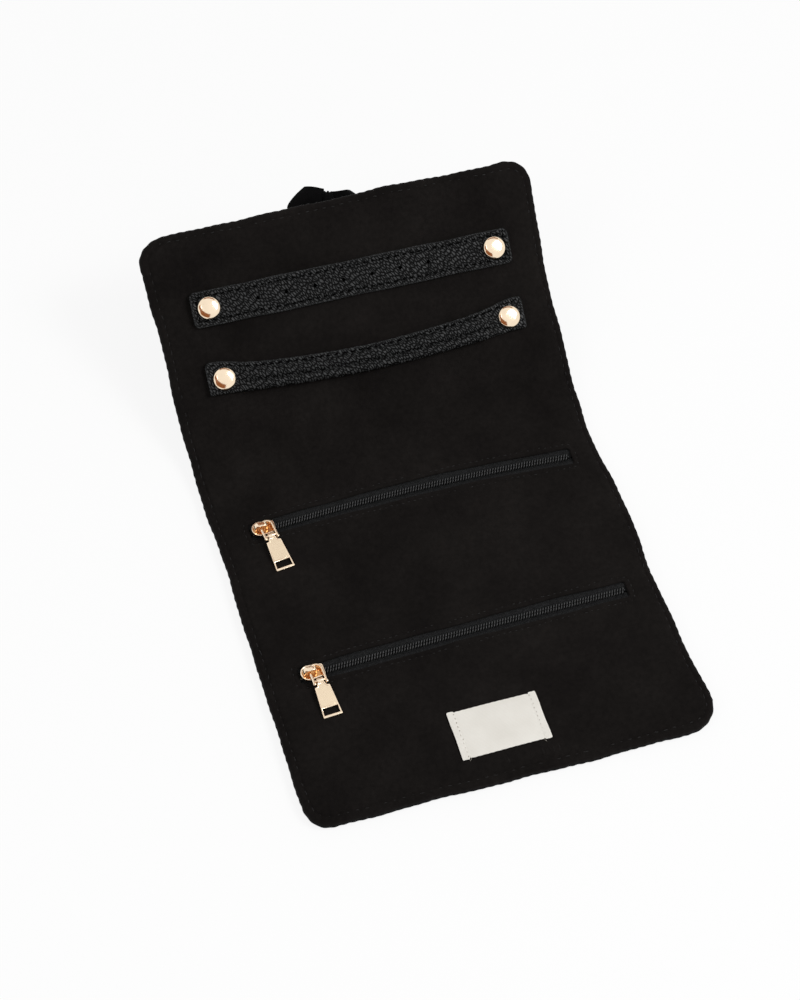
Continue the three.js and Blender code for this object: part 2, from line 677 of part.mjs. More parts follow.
function bowTail() {
  const half = TAIL_WIDTH / 2;
  const neck = half * BOW_PINCH;
  const shape = new THREE.Shape();
  shape.moveTo(-neck, 0);
  shape.lineTo(neck, 0);
  shape.lineTo(half, -TAIL_LENGTH);
  shape.lineTo(0, -TAIL_LENGTH + TAIL_NOTCH);
  shape.lineTo(-half, -TAIL_LENGTH);
  shape.closePath();
  return plate(shape, -RIBBON_THICKNESS, 0);
}

// The bow sits on the flap's outer face, reaching a little past its free edge
function addBow(parent) {
  const bow = new THREE.Group();
  bow.position.set(BOW_OFFSET_X, FLAP_LENGTH - BOW_FROM_EDGE, -CLEARANCE);
  parent.add(bow);
  const depth = BOW_LOOP_HEIGHT / 2;
  const loops = [['bow_left_loop', -1], ['bow_right_loop', 1]];
  for (const [name, side] of loops) {
    addPart(bow, name, bowLoop(side).translate(0, 0, -depth), 'velvet');
  }
  const knotHalf = RIBBON_WIDTH * BOW_PINCH / 2;
  const knotOutline = roundedRectangle(
    THREE.Shape, -KNOT_WIDTH / 2, KNOT_WIDTH / 2, -BOW_LOOP_HEIGHT, 0, KNOT_WIDTH / 4);
  const knot = plate(knotOutline, -knotHalf, knotHalf).rotateX(Math.PI / 2);
  addPart(bow, 'bow_knot', knot, 'velvet');
  for (const [name, side] of [['bow_left_tail', -1], ['bow_right_tail', 1]]) {
    const tail = addPart(bow, name, bowTail(), 'velvet');
    tail.position.set(side * TAIL_WIDTH * BOW_PINCH, -RIBBON_WIDTH / 2 - CLEARANCE, 0);
    tail.rotation.z = side * TAIL_SPLAY;
  }
}

function magnet(y) {
  return disc(0, y, MAGNET_DIAMETER / 2, WADDING_BOTTOM, WADDING_BOTTOM + WADDING_THICKNESS);
}

const MAGNET_HOLE = MAGNET_DIAMETER / 2 + CLEARANCE;
const group = new THREE.Group();

// Middle panel, resting on the table
const foldY = MIDDLE_LENGTH / 2;
const middleZipY = foldY - MIDDLE_ZIP_FROM_FOLD;
const middleSpan = {
  start: -foldY + FOLD_GAP / 2,
  end: foldY - FOLD_GAP / 2,
  radius: 0,
  direction: 1,
  waddingTop: WADDING_BOTTOM + WADDING_THICKNESS,
  liningHoles: [zipWindow(middleZipY, MIDDLE_ZIP_SLANT)],
};
addPanel(group, 'middle', middleSpan);
addPocketBack(group, 'middle', middleSpan);
const middleZip = addZip(group, 'middle', middleZipY, MIDDLE_ZIP_SLANT);
addSlider(middleZip, 'middle', MIDDLE_PULL_SWING);

// Bottom panel, beyond the lower fold
const bottom = new THREE.Group();
bottom.position.y = -foldY;
group.add(bottom);
// The closing magnets meet a margin inside the flap's end or the lower fold, whichever comes first
const flapMagnetY = Math.min(FLAP_LENGTH, MIDDLE_LENGTH) - MAGNET_MARGIN;
const bottomMagnetY = -(MIDDLE_LENGTH - flapMagnetY);
const bottomSpan = {
  start: FOLD_GAP / 2,
  end: BOTTOM_LENGTH,
  radius: CORNER_RADIUS,
  direction: -1,
  waddingTop: WADDING_BOTTOM + WADDING_THICKNESS,
  waddingHoles: [{ x: 0, y: bottomMagnetY, radius: MAGNET_HOLE }],
  liningHoles: [zipWindow(-BOTTOM_ZIP_FROM_FOLD, BOTTOM_ZIP_SLANT)],
};
addPanel(bottom, 'bottom', bottomSpan);
addPocketBack(bottom, 'bottom', bottomSpan);
const bottomZip = addZip(bottom, 'bottom', -BOTTOM_ZIP_FROM_FOLD, BOTTOM_ZIP_SLANT);
addSlider(bottomZip, 'bottom', BOTTOM_PULL_SWING);
addPart(bottom, 'bottom_magnet', magnet(bottomMagnetY), 'steel');
const labelLow = -BOTTOM_LENGTH + LABEL_FROM_EDGE;
const labelBottom = PANEL_THICKNESS + CLEARANCE;
addPart(bottom, 'label', box(
  -LABEL_WIDTH / 2, LABEL_WIDTH / 2, labelLow, labelLow + LABEL_HEIGHT,
  labelBottom, labelBottom + LABEL_THICKNESS), 'label');

// Spine, turned up at the upper fold about the lining's surface
const spineHinge = new THREE.Group();
spineHinge.position.set(0, foldY, PANEL_THICKNESS);
spineHinge.rotation.x = REST_FOLD;
group.add(spineHinge);
const spine = new THREE.Group();
spine.position.z = -PANEL_THICKNESS;
spineHinge.add(spine);
const flapWaddingTop = STUD_BACK_BOTTOM - CLEARANCE;
addPanel(spine, 'spine', {
  start: FOLD_GAP / 2,
  end: SPINE_LENGTH - FOLD_GAP / 2,
  radius: 0,
  direction: 1,
  waddingTop: flapWaddingTop,
});

// Flap, turned up once more at the spine's far edge
const flapHinge = new THREE.Group();
flapHinge.position.y = SPINE_LENGTH;
flapHinge.rotation.x = REST_FOLD;
spineHinge.add(flapHinge);
const flap = new THREE.Group();
flap.position.z = -PANEL_THICKNESS;
flapHinge.add(flap);
const studPlaces = [EARRING_ROW, RING_BAR_ROW].flatMap((row) => [[-SNAP_X, row], [SNAP_X, row]]);
addPanel(flap, 'flap', {
  start: FOLD_GAP / 2,
  end: FLAP_LENGTH,
  radius: CORNER_RADIUS,
  direction: 1,
  waddingTop: flapWaddingTop,
  waddingHoles: [{ x: 0, y: flapMagnetY, radius: MAGNET_HOLE }],
  liningHoles: studPlaces.map(([x, y]) => circle(THREE.Path, x, y, POST_HOLE)),
});
addPart(flap, 'flap_magnet', magnet(flapMagnetY), 'steel');
addEarringStrip(flap);
addRingBar(flap);
addBow(flap);

export default group;
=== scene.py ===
"""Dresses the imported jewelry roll: padded cloth panels, zips, leather holders, label and bow."""
import math

import bpy
import numpy as np
from mathutils import Matrix, Vector
from mathutils.geometry import delaunay_2d_cdt
from mathutils.kdtree import KDTree


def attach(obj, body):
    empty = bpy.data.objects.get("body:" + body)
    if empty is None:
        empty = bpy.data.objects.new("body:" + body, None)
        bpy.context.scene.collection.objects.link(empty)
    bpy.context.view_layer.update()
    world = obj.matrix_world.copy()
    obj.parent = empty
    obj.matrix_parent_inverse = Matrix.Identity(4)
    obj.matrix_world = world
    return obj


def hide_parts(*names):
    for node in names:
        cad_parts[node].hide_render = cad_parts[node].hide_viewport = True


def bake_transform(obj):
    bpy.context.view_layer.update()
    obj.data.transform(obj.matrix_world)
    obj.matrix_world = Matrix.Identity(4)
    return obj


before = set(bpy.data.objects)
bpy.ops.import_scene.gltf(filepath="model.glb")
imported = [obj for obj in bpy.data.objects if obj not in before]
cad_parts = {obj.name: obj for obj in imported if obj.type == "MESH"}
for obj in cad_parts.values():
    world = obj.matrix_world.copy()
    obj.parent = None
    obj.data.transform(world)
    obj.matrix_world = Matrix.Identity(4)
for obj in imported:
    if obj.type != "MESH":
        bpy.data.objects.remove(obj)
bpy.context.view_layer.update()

MM = 0.001
rng = np.random.default_rng(7)

# Sizes of the roll laid flat, in millimetres; s runs from the bottom edge to the flap's top edge
HALF_WIDTH = 90.0
FOLD = 43.0
BOTTOM_END = -128.0
SPINE_END = 67.0
FLAP_END = 155.0
CORNER = 11.0
LINING_TOP = 6.5
FLAP_TILT = math.radians(34)
FLAP_HINGE = np.array([65.951, 13.517])
BEND_START = FOLD - 10
BEND_END = SPINE_END + 10
UPPER_CUT = 55.0
LOWER_CUT = -10.0


def path(s):
    """Gives the lining's side view (y, z) at distances s, and the direction it runs in."""
    level = np.array([1.0, 0.0])
    slope = np.array([math.cos(FLAP_TILT), math.sin(FLAP_TILT)])
    start = np.array([BEND_START, LINING_TOP])
    end = FLAP_HINGE + (BEND_END - SPINE_END) * slope
    length = BEND_END - BEND_START
    s = s[:, None]
    t = np.clip((s - BEND_START) / length, 0, 1)
    spots = (2 * t**3 - 3 * t**2 + 1) * start + (3 * t**2 - 2 * t**3) * end
    spots += length * ((t**3 - 2 * t**2 + t) * level + (t**3 - t**2) * slope)
    spots += np.minimum(s - BEND_START, 0) * level + np.maximum(s - BEND_END, 0) * slope
    run = (6 * t**2 - 6 * t) * (start - end)
    run += length * ((3 * t**2 - 4 * t + 1) * level + (3 * t**2 - 2 * t) * slope)
    return spots, run / np.linalg.norm(run, axis=1)[:, None]


def place(points):
    """Moves flat points (x, s, height over the lining) in millimetres to the folded roll, in metres."""
    x, s, height = np.asarray(points, float).T
    spots, run = path(s)
    return np.column_stack([x, spots[:, 0] - height * run[:, 1], spots[:, 1] + height * run[:, 0]]) * MM


def spot(x, s, h=0.0):
    return tuple(place([(x, s, h)])[0])


def smooth_step(value):
    value = np.clip(value, 0, 1)
    return value * value * (3 - 2 * value)


def bell(distance, width):
    return np.exp(-((distance / width) ** 2))


def waves(at, *terms):
    """Adds up sine waves, each given by its height, length and start."""
    return sum(height * np.sin(at / length + start) for height, length, start in terms)


# Making meshes; a shape is a pair of points and faces
GRID_GAP = 0.6
LEAST_CORNER = 0.6
TUBE_SIDE = (0.3, 0.2, 1.0)
OUTWARD = np.array([(1, 0), (0, 1), (-1, 0), (0, -1)], float)
STITCH_SHAPE = (
    (-1.0, 0.12), (-0.92, 0.55), (-0.6, 0.95), (0.0, 1.0), (0.6, 0.95), (0.92, 0.55), (1.0, 0.12),
)
STITCH_SIDES = 6
STITCH_DIVE = 1.6


def add_object(name, data):
    obj = bpy.data.objects.new(name, data)
    bpy.context.collection.objects.link(obj)
    return obj


def make_object(name, shape, material, smooth=True, flat=None):
    """Makes a mesh object from a shape in metres; flat gives each point's place on the flat cloth."""
    points, faces = shape
    mesh = bpy.data.meshes.new(name)
    mesh.from_pydata([tuple(p) for p in points], [], [tuple(int(i) for i in f) for f in faces])
    mesh.polygons.foreach_set("use_smooth", [smooth] * len(mesh.polygons))
    if flat is not None:
        layer = mesh.uv_layers.new(name="flat")
        corner = np.empty(len(mesh.loops), int)
        mesh.loops.foreach_get("vertex_index", corner)
        layer.data.foreach_set("uv", (flat[corner, :2] * MM).ravel())
    mesh.update()
    mesh.materials.append(material)
    return add_object(name, mesh)


def cloth_object(name, shape, material):
    """Makes an object from a shape on the flat cloth, folded into place."""
    points = np.asarray(shape[0], float)
    return make_object(name, (place(points), shape[1]), material, flat=points)


def dress(obj, body=None, nodes=()):
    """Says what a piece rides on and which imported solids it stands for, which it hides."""
    if body:
        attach(obj, body)
    if nodes:
        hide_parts(*nodes)


def settle(obj):
    """Applies an object's modifiers to its mesh."""
    mesh = bpy.data.meshes.new_from_object(obj.evaluated_get(bpy.context.evaluated_depsgraph_get()))
    obj.modifiers.clear()
    obj.data = mesh
    mesh.name = obj.name


def weld(obj):
    """Joins the points that neighbouring rows and fields share."""
    obj.modifiers.new("weld", "WELD").merge_threshold = 1e-6
    settle(obj)


def thicken(obj, thickness):
    """Gives a single sheet a real thickness below its face; its rim meets the face at a crisp edge."""
    count = len(obj.data.polygons)
    modifier = obj.modifiers.new("thickness", "SOLIDIFY")
    modifier.thickness = thickness * MM
    modifier.offset = -1
    settle(obj)
    mesh = obj.data
    for rim in mesh.polygons[2 * count :]:
        rim.use_smooth = False
        for corner in rim.loop_indices:
            mesh.edges[mesh.loops[corner].edge_index].use_edge_sharp = True


def bands(rows, count, closed=True, ring=False):
    """Lists the quads between rows of points; a ring's last row meets its first."""
    faces = []
    for row in range(rows if ring else rows - 1):
        low, high = row * count, (row + 1) % rows * count
        for i in range(count if closed else count - 1):
            j = (i + 1) % count
            faces.append((low + i, low + j, high + j, high + i))
    return faces


def capped(rows, count):
    """Lists the quads between closed rows of points, and the two faces that close the ends."""
    last = (rows - 1) * count
    return bands(rows, count) + [tuple(reversed(range(count))), tuple(range(last, last + count))]


def flipped(faces):
    return [tuple(reversed(f)) for f in faces]


def merge(shapes):
    """Joins several shapes into one."""
    faces = []
    start = 0
    for points, part_faces in shapes:
        faces += [tuple(i + start for i in f) for f in part_faces]
        start += len(points)
    return np.vstack([points for points, _ in shapes]), faces


def inside(points, loops):
    """Says which points lie inside the first closed loop and outside the others."""
    x, y = points.T
    result = np.zeros(len(points), bool)
    for loop in loops:
        within = np.zeros(len(points), bool)
        for (ax, ay), (bx, by) in zip(loop, np.roll(loop, -1, axis=0)):
            if ay != by:
                within ^= ((ay > y) != (by > y)) & (x < (bx - ax) * (y - ay) / (by - ay) + ax)
        result = within if loop is loops[0] else result & ~within
    return result


def nearest(points, target):
    return int(np.argmin([math.dist(p, target) for p in points]))


def fill(outer, holes, spacing, lines=()):
    """Fills an outline with triangles; returns all the flat points and faces, the outlines' points first."""
    loops = [outer, *holes]
    points = []
    edges = []
    for loop in loops:
        start = len(points)
        points += [tuple(p) for p in loop]
        edges += [(start + i, start + (i + 1) % len(loop)) for i in range(len(loop))]
    for line in lines:
        start = len(points)
        points += line[1:-1]
        chain = [nearest(points, line[0]), *range(start, len(points)), nearest(points, line[-1])]
        edges += zip(chain[:-1], chain[1:])
    low, high = outer.min(0) + spacing / 2, outer.max(0)
    xs = np.arange(low[0], high[0], spacing)
    shifts = (-spacing / 4, spacing / 4)
    rows = enumerate(np.arange(low[1], high[1], spacing))
    grid = np.array([(x + shifts[j % 2], y) for j, y in rows for x in xs])
    grid = grid[inside(grid, loops)]
    taken = np.array(points)
    gap = np.array([np.min(np.hypot(*(taken - g).T)) for g in grid])
    points += [tuple(g) for g in grid[gap > spacing * GRID_GAP]]
    made = delaunay_2d_cdt([Vector(p) for p in points], edges, [], 0, 1e-7)
    source = np.array([ids[0] if ids else -1 for ids in made[3]])
    assert (source >= 0).all() and len(set(source)) == len(points)
    faces = np.array(list(made[2]))
    centres = np.array([tuple(v) for v in made[0]])[faces].mean(1)
    return np.array(points), source[faces[inside(centres, loops)]]


def arc(x, y, radius, start, sweep, steps, tall=None):
    """Gives points along an arc, its angles in degrees; tall is the second radius of an oval."""
    angle = np.radians(start + sweep * np.arange(steps + 1) / steps)
    return np.column_stack([x + radius * np.cos(angle), y + (tall or radius) * np.sin(angle)])


def round_box(left, right, low, high, radius, step, stops=()):
    """Walks round a rounded rectangle: points and outward directions; stops are heights that get a point."""
    corners = np.array([
        (right - radius, high - radius), (left + radius, high - radius),
        (left + radius, low + radius), (right - radius, low + radius),
    ])
    points = []
    normals = []
    for quarter, normal in enumerate(OUTWARD):
        start = corners[quarter - 1] + radius * normal
        end = corners[quarter] + radius * normal
        length = math.dist(start, end)
        marks = sorted([0.0, length] + [abs(stop - start[1]) for stop in stops if normal[0]])
        for a, b in zip(marks[:-1], marks[1:]):
            count = max(1, round((b - a) / step))
            share = (a + (b - a) * np.arange(count) / count) / length
            points.append(start + (end - start) * share[:, None])
            normals.append(np.tile(normal, (count, 1)))
        count = max(3, round(math.pi / 2 * radius / step))
        normals.append(arc(0, 0, 1, 90 * quarter, 90, count)[:-1])
        points.append(corners[quarter] + radius * normals[-1])
    return np.vstack(points), np.vstack(normals)


def drawn_in(loop, out, radius, depth):
    """Draws a rounded rectangle in by a depth, point for point, keeping a least corner radius."""
    centre = (loop.min(0) + loop.max(0)) / 2
    half = (loop.max(0) - loop.min(0)) / 2
    corner = max(radius - depth, LEAST_CORNER)
    scale = (half - depth - corner) / (half - radius)
    return centre + (loop - centre - out * radius) * scale + out * corner


def measured(loop):
    """Gives the distance along a closed loop at each of its points, and its whole length."""
    steps = np.hypot(*(np.roll(loop, -1, axis=0) - loop).T)
    return np.concatenate([[0], np.cumsum(steps)[:-1]]), steps.sum()


def along_loop(loop, distance):
    """Gives the places and directions at distances along a closed loop."""
    marks, total = measured(loop)
    closed = np.vstack([loop, loop[:1]])
    marks = np.append(marks, total)
    places = np.column_stack([np.interp(distance, marks, side) for side in closed.T])
    index = np.clip(np.searchsorted(marks, distance, side="right") - 1, 0, len(loop) - 1)
    run = closed[index + 1] - closed[index]
    return places, run / np.hypot(*run.T)[:, None]


def tube(points, radius, sides):
    """Sweeps a round section along a path of points; radius may differ at each point."""
    points = np.asarray(points, float)
    tangent = np.gradient(points, axis=0)
    tangent /= np.linalg.norm(tangent, axis=1)[:, None]
    across = np.cross(tangent[0], TUBE_SIDE)
    circle = arc(0, 0, 1, 0, 360, sides)[:-1]
    rings = []
    for point, run, girth in zip(points, tangent, np.broadcast_to(radius, len(points))):
        across = across - run * np.dot(across, run)
        across /= np.linalg.norm(across)
        rings.append(point + girth * circle @ np.array([across, np.cross(run, across)]))
    return np.vstack(rings), capped(len(points), sides)


def lathe(profile, x, s, sides=48):
    """Turns a profile of (radius, height) about a post on the cloth; a closed profile makes a ring."""
    ring = profile[0] == profile[-1]
    rows = profile[:-1] if ring else profile
    points = []
    for radius, height in rows:
        points.append(np.column_stack([arc(x, s, radius, 0, 360, sides)[:-1], np.full(sides, height)]))
    return np.vstack(points), bands(len(rows), sides, ring=True) if ring else capped(len(rows), sides)


def stitches(centres, runs, heights, length, radius, dive=1, uneven=0.06):
    """Makes one short thread for each centre: a capsule whose ends dive down into the cloth."""
    share, girth = np.array(STITCH_SHAPE).T[:, :, None]
    across, up = (radius * girth * side for side in arc(0, 0, 1, 0, 360, STITCH_SIDES)[:-1].T)
    faces = capped(len(STITCH_SHAPE), STITCH_SIDES)
    threads = []
    for (x, s), (run_x, run_s), height in zip(centres, runs, heights):
        half = length / 2 * rng.uniform(1 - 2 * uneven, 1 + 0.6 * uneven)
        skew = rng.normal(0, 0.05 + 0.4 * uneven)
        stray = rng.normal(0, uneven)
        along_x, along_s = run_x - run_s * skew, run_s + run_x * skew
        thread = np.stack([
            x - run_s * stray + along_x * half * share - along_s * across,
            s + run_x * stray + along_s * half * share + along_x * across,
            height - dive * radius * STITCH_DIVE * share**2 + up,
        ], axis=-1)
        threads.append((thread.reshape(-1, 3), faces))
    return merge(threads)


def even_places(total, pitch):
    """Gives evenly spaced distances round a seam, and the spacing used."""
    count = max(1, round(total / pitch))
    return (np.arange(count) + 0.5) * total / count, total / count


def split(shape, low, high):
    """Takes the faces between two cuts across the cloth, with only the points they use."""
    points, faces = shape
    chosen = [f for f in faces if low < points[list(f), 1].mean() < high]
    used = sorted({i for f in chosen for i in f})
    new = {old: i for i, old in enumerate(used)}
    return points[used], [tuple(new[i] for i in f) for f in chosen]


# Materials


class Nodes:
    """A small helper for building node trees."""

    def __init__(self, tree):
        self.tree = tree

    def plug(self, socket, value):
        """Links or sets one input; a colour of three numbers is made opaque."""
        if isinstance(value, bpy.types.NodeSocket):
            self.tree.links.new(value, socket)
        elif socket.type == "RGBA" and len(value) == 3:
            socket.default_value = (*value, 1)
        else:
            socket.default_value = value

    def node(self, kind, inputs, out=0, **props):
        """Adds a node and gives one of its outputs."""
        node = self.tree.nodes.new("ShaderNode" + kind)
        for key, value in props.items():
            setattr(node, key, value)
        for key, value in inputs.items():
            self.plug(node.inputs[key], value)
        return node.outputs[out]

    def math(self, a, b, operation="MULTIPLY"):
        return self.node("Math", {0: a, 1: b}, operation=operation)

    def seen(self):
        """Tells rays that the camera sees, straight or by way of a mirror or a pane."""
        camera, glossy, through = (
            self.node("LightPath", {}, f"Is {word} Ray") for word in ("Camera", "Glossy", "Transmission")
        )
        return self.math(self.math(camera, glossy, "MAXIMUM"), through, "MAXIMUM")


class Shader(Nodes):
    """A material with its main shader."""

    def __init__(self, name, colour, roughness, **values):
        self.material = bpy.data.materials.new(name)
        self.material.use_nodes = True
        super().__init__(self.material.node_tree)
        self.main = self.tree.nodes["Principled BSDF"]
        for key, value in {"Base_Color": colour, "Roughness": roughness, **values}.items():
            self.set(key.replace("_", " "), value)

    def set(self, socket, value):
        self.plug(self.main.inputs[socket], value)

    def surface(self, shader):
        self.plug(self.tree.nodes["Material Output"].inputs["Surface"], shader)

    def glow(self, colour):
        return self.node("Emission", {"Color": colour, "Strength": 1.0})

    def on_cloth(self, turn=0.0):
        """Gives coordinates on the flat cloth, in metres, turned by some degrees."""
        source = self.node("UVMap", {}, "UV", uv_map="flat")
        return self.node("Mapping", {"Vector": source, "Rotation": (0, 0, math.radians(turn))})

    def solid(self):
        """Gives coordinates in the object's own space, in metres."""
        return self.node("TexCoord", {}, "Object")

    def stretched(self, where, scale):
        return self.node("Mapping", {"Vector": where, "Scale": scale})

    def noise(self, where, scale, detail=2.0, roughness=0.5, out="Fac"):
        inputs = {"Vector": where, "Scale": scale, "Detail": detail, "Roughness": roughness}
        return self.node("TexNoise", inputs, out)

    def wave(self, where, scale, direction="X", **more):
        inputs = {"Vector": where, "Scale": scale, **more}
        return self.node("TexWave", inputs, "Fac", wave_type="BANDS", bands_direction=direction)

    def cells(self, where, feature, out):
        inputs = {"Vector": where, "Scale": 1.0}
        return self.node("TexVoronoi", inputs, out, feature=feature, voronoi_dimensions="2D")

    def ramp(self, factor, stops):
        out = self.node("ValToRGB", {"Fac": factor}, "Color")
        elements = out.node.color_ramp.elements
        while len(elements) < len(stops):
            elements.new(0.5)
        for element, (position, colour) in zip(elements, stops):
            element.position = position
            element.color = (*colour, 1) if isinstance(colour, tuple) else (colour, colour, colour, 1)
        return out

    def span(self, value, low, high, to_low=0.0, to_high=1.0):
        inputs = {"Value": value, "From Min": low, "From Max": high, "To Min": to_low, "To Max": to_high}
        return self.node("MapRange", inputs)

    def mix(self, factor, a, b, blend="MIX"):
        return self.node("Mix", {0: factor, 6: a, 7: b}, 2, data_type="RGBA", blend_type=blend)

    def speckle(self, broad, fine):
        """Colours the surface with broad patches times a fine grain."""
        self.set("Base Color", self.mix(1.0, broad, fine, "MULTIPLY"))

    def bump(self, height, strength, distance, more=None, share=1.0):
        """Raises the surface by a height, and by a share of one more."""
        if more is not None:
            height = self.math(height, self.math(more, share), "ADD")
        inputs = {"Height": height, "Strength": strength, "Distance": distance}
        self.set("Normal", self.node("Bump", inputs, "Normal"))


def times(colour, share):
    return tuple(c * share for c in colour)


def suede_material():
    shader = Shader(
        "suede_lining", (0.0062, 0.0054, 0.0052), 0.9,
        Specular_IOR_Level=0.03, Sheen_Weight=0.025, Sheen_Roughness=0.5, Sheen_Tint=(0.9, 0.84, 0.8),
    )
    where = shader.solid()
    patches = shader.noise(where, 38, 4, 0.6)
    nap = shader.noise(where, 520, 3, 0.6)
    fibre = shader.noise(where, 2600, 2, 0.6)
    broad = shader.ramp(patches, ((0.3, (0.006, 0.0051, 0.0048)), (0.72, (0.0106, 0.0092, 0.0085))))
    shader.speckle(broad, shader.ramp(nap, ((0.25, 0.72), (0.8, 1.3))))
    shader.set("Roughness", shader.span(nap, 0.2, 0.8, 0.82, 0.98))
    shader.bump(fibre, 0.45, 0.00022, nap, 0.7)
    return shader.material


def velvet_material(name, tone):
    shader = Shader(
        name, times((0.007, 0.0068, 0.0072), tone), 0.95,
        Specular_IOR_Level=0.03, Sheen_Weight=0.1, Sheen_Roughness=0.32, Sheen_Tint=(0.85, 0.87, 0.9),
    )
    where = shader.solid()
    crush = shader.noise(where, 70, 4, 0.55)
    pile = shader.noise(where, 3200, 2, 0.7)
    broad = shader.ramp(crush, ((0.3, 0.0034 * tone), (0.75, 0.0072 * tone)))
    shader.speckle(broad, shader.ramp(pile, ((0.25, 0.55), (0.8, 1.5))))
    shader.bump(pile, 0.6, 0.0003, crush, 1.5)
    return shader.material


def leather_material(name, light_lift):
    """Makes pebbled leather: drawn-out cells whose valleys are painted dark as shade and whose tops are
    painted light as highlight, with a painted highlight along the top folded edges and a lift that paints the
    whole piece lighter.
    """
    shader = Shader(name, (0.009, 0.0093, 0.0095), 0.36, Specular_IOR_Level=0.06)
    where = shader.on_cloth(-35)
    drift = shader.noise(where, 420.0, out="Color")
    pushed = shader.node("VectorMath", {0: drift, 1: (0.0005, 0.0005, 0.0)}, operation="MULTIPLY")
    moved = shader.node("VectorMath", {0: where, 1: pushed}, operation="ADD")
    drawn = shader.stretched(moved, (960, 420, 1))
    dome = shader.span(shader.cells(drawn, "DISTANCE_TO_EDGE", "Distance"), 0.02, 0.3)
    level = shader.math(dome, shader.span(shader.cells(drawn, "F1", "Color"), 0.0, 1.0, 0.75, 1.15))
    # Tone follows the grain's height: the valleys are painted near-black as shade and the dome tops painted
    # light as highlight.
    marks = ((0.05, (0.001, 0.001, 0.0011)), (0.42, (0.0125, 0.0128, 0.013)), (1.0, (0.05, 0.0508, 0.0514)))
    tone = shader.ramp(level, [(at, times(colour, light_lift)) for at, colour in marks])
    # The rim attribute paints a highlight along the folded edges as a lighter colour.
    rim = shader.node("Attribute", {}, "Fac", attribute_name="rim")
    shader.set("Base Color", shader.mix(rim, tone, (0.042, 0.043, 0.044)))
    shader.set("Roughness", shader.span(level, 0.1, 0.9, 0.7, 0.26))
    shader.bump(level, 1.0, 0.0005, shader.noise(shader.solid(), 4200, 2, 0.6), 0.12)
    return shader.material


def gold_material(name, colour, roughness, grain):
    shader = Shader(name, colour, roughness, Metallic=1.0)
    where = shader.solid()
    haze = shader.noise(where, 420, 3, 0.6)
    shader.set("Roughness", shader.span(haze, 0.2, 0.8, roughness * 0.92, roughness * 1.1))
    shader.set("Base Color", shader.mix(shader.span(haze, 0.3, 0.7), colour, times(colour, 0.93)))
    shader.bump(shader.noise(shader.stretched(where, (900, 9000, 9000)), 1.0), grain, 0.00004)
    return shader.material


def coil_material():
    shader = Shader("nylon_coil", (0.012, 0.0123, 0.0128), 0.3, Specular_IOR_Level=0.35)
    where = shader.solid()
    wear = shader.noise(where, 700, 3, 0.6)
    shader.set("Roughness", shader.span(wear, 0.2, 0.8, 0.26, 0.46))
    stops = ((0.3, (0.026, 0.0266, 0.0274)), (0.75, (0.046, 0.047, 0.0484)))
    shader.set("Base Color", shader.ramp(wear, stops))
    shader.bump(shader.noise(where, 3000), 0.15, 0.0001)
    return shader.material


def tape_material():
    shader = Shader(
        "zip_tape", (0.018, 0.0202, 0.022), 0.8,
        Specular_IOR_Level=0.08, Sheen_Weight=0.04, Sheen_Roughness=0.4,
    )
    twill = shader.math(*(shader.wave(shader.on_cloth(turn), 420.0) for turn in (45, -45)))
    fuzz = shader.noise(shader.solid(), 1500, 3, 0.6)
    broad = shader.ramp(twill, ((0.0, (0.0074, 0.0076, 0.0079)), (0.7, (0.0176, 0.018, 0.0185))))
    shader.speckle(broad, shader.ramp(fuzz, ((0.34, 0.42), (0.66, 1.6))))
    shader.bump(twill, 0.5, 0.00012, fuzz, 0.4)
    return shader.material


def thread_material(name, colour, gloss, sheen=0.1):
    shader = Shader(name, colour, 0.5, Specular_IOR_Level=gloss, Sheen_Weight=sheen)
    strand = shader.noise(shader.solid(), 5200, 2, 0.6)
    shader.set("Base Color", shader.mix(strand, times(colour, 0.7), times(colour, 1.2)))
    shader.bump(strand, 0.4, 0.0001)
    return shader.material


def label_material():
    shader = Shader(
        "label_satin", (0.76, 0.73, 0.67), 0.46,
        Specular_IOR_Level=0.35, Sheen_Weight=0.12, Sheen_Roughness=0.35, Anisotropic=0.4,
    )
    where = shader.on_cloth()
    warp = shader.wave(where, 900.0, Distortion=0.4, Detail=1.0)
    weft = shader.wave(where, 520.0, "Y", Distortion=0.5, Detail=1.0)
    soil = shader.noise(shader.solid(), 90, 3)
    base = shader.ramp(soil, ((0.3, (0.77, 0.74, 0.678)), (0.75, (0.84, 0.812, 0.753))))
    shader.speckle(base, shader.ramp(shader.math(warp, weft), ((0.0, 0.93), (1.0, 1.04))))
    shader.set("Roughness", shader.span(weft, 0.0, 1.0, 0.4, 0.54))
    shader.bump(warp, 0.22, 0.00008, weft, 1.4)
    return shader.material


def steel_material():
    colour = (0.5, 0.5, 0.52)
    shader = Shader("magnet_steel", colour, 0.35, Metallic=1.0)
    speck = shader.noise(shader.solid(), 300, 3)
    shader.set("Base Color", shader.mix(speck, times(colour, 0.85), colour))
    shader.bump(speck, 0.3, 0.0002)
    return shader.material


SUEDE = suede_material()
VELVET = velvet_material("velvet_cover", 1.0)
# The bow's ribbon is the cover's velvet painted darker as shade.
RIBBON_SHADED = velvet_material("velvet_ribbon_shaded", 0.7)
LEATHER = leather_material("pebbled_leather", 1.0)
# The ring bar's leather is the same leather painted lighter, standing in for the light the bar catches.
BAR_LEATHER_LIT = leather_material("bar_leather_lit", 1.15)
GOLD = gold_material("rose_gold_polished", (0.96, 0.79, 0.59), 0.12, 0.05)
GOLD_SATIN = gold_material("rose_gold_satin", (0.84, 0.69, 0.5), 0.26, 0.015)
# Deep orange gold for the slider's floor: a dark reflection painted into the colour.
GOLD_PAINTED_REFLECTION = gold_material("rose_gold_painted_reflection", (0.72, 0.36, 0.14), 0.2, 0.05)
COIL = coil_material()
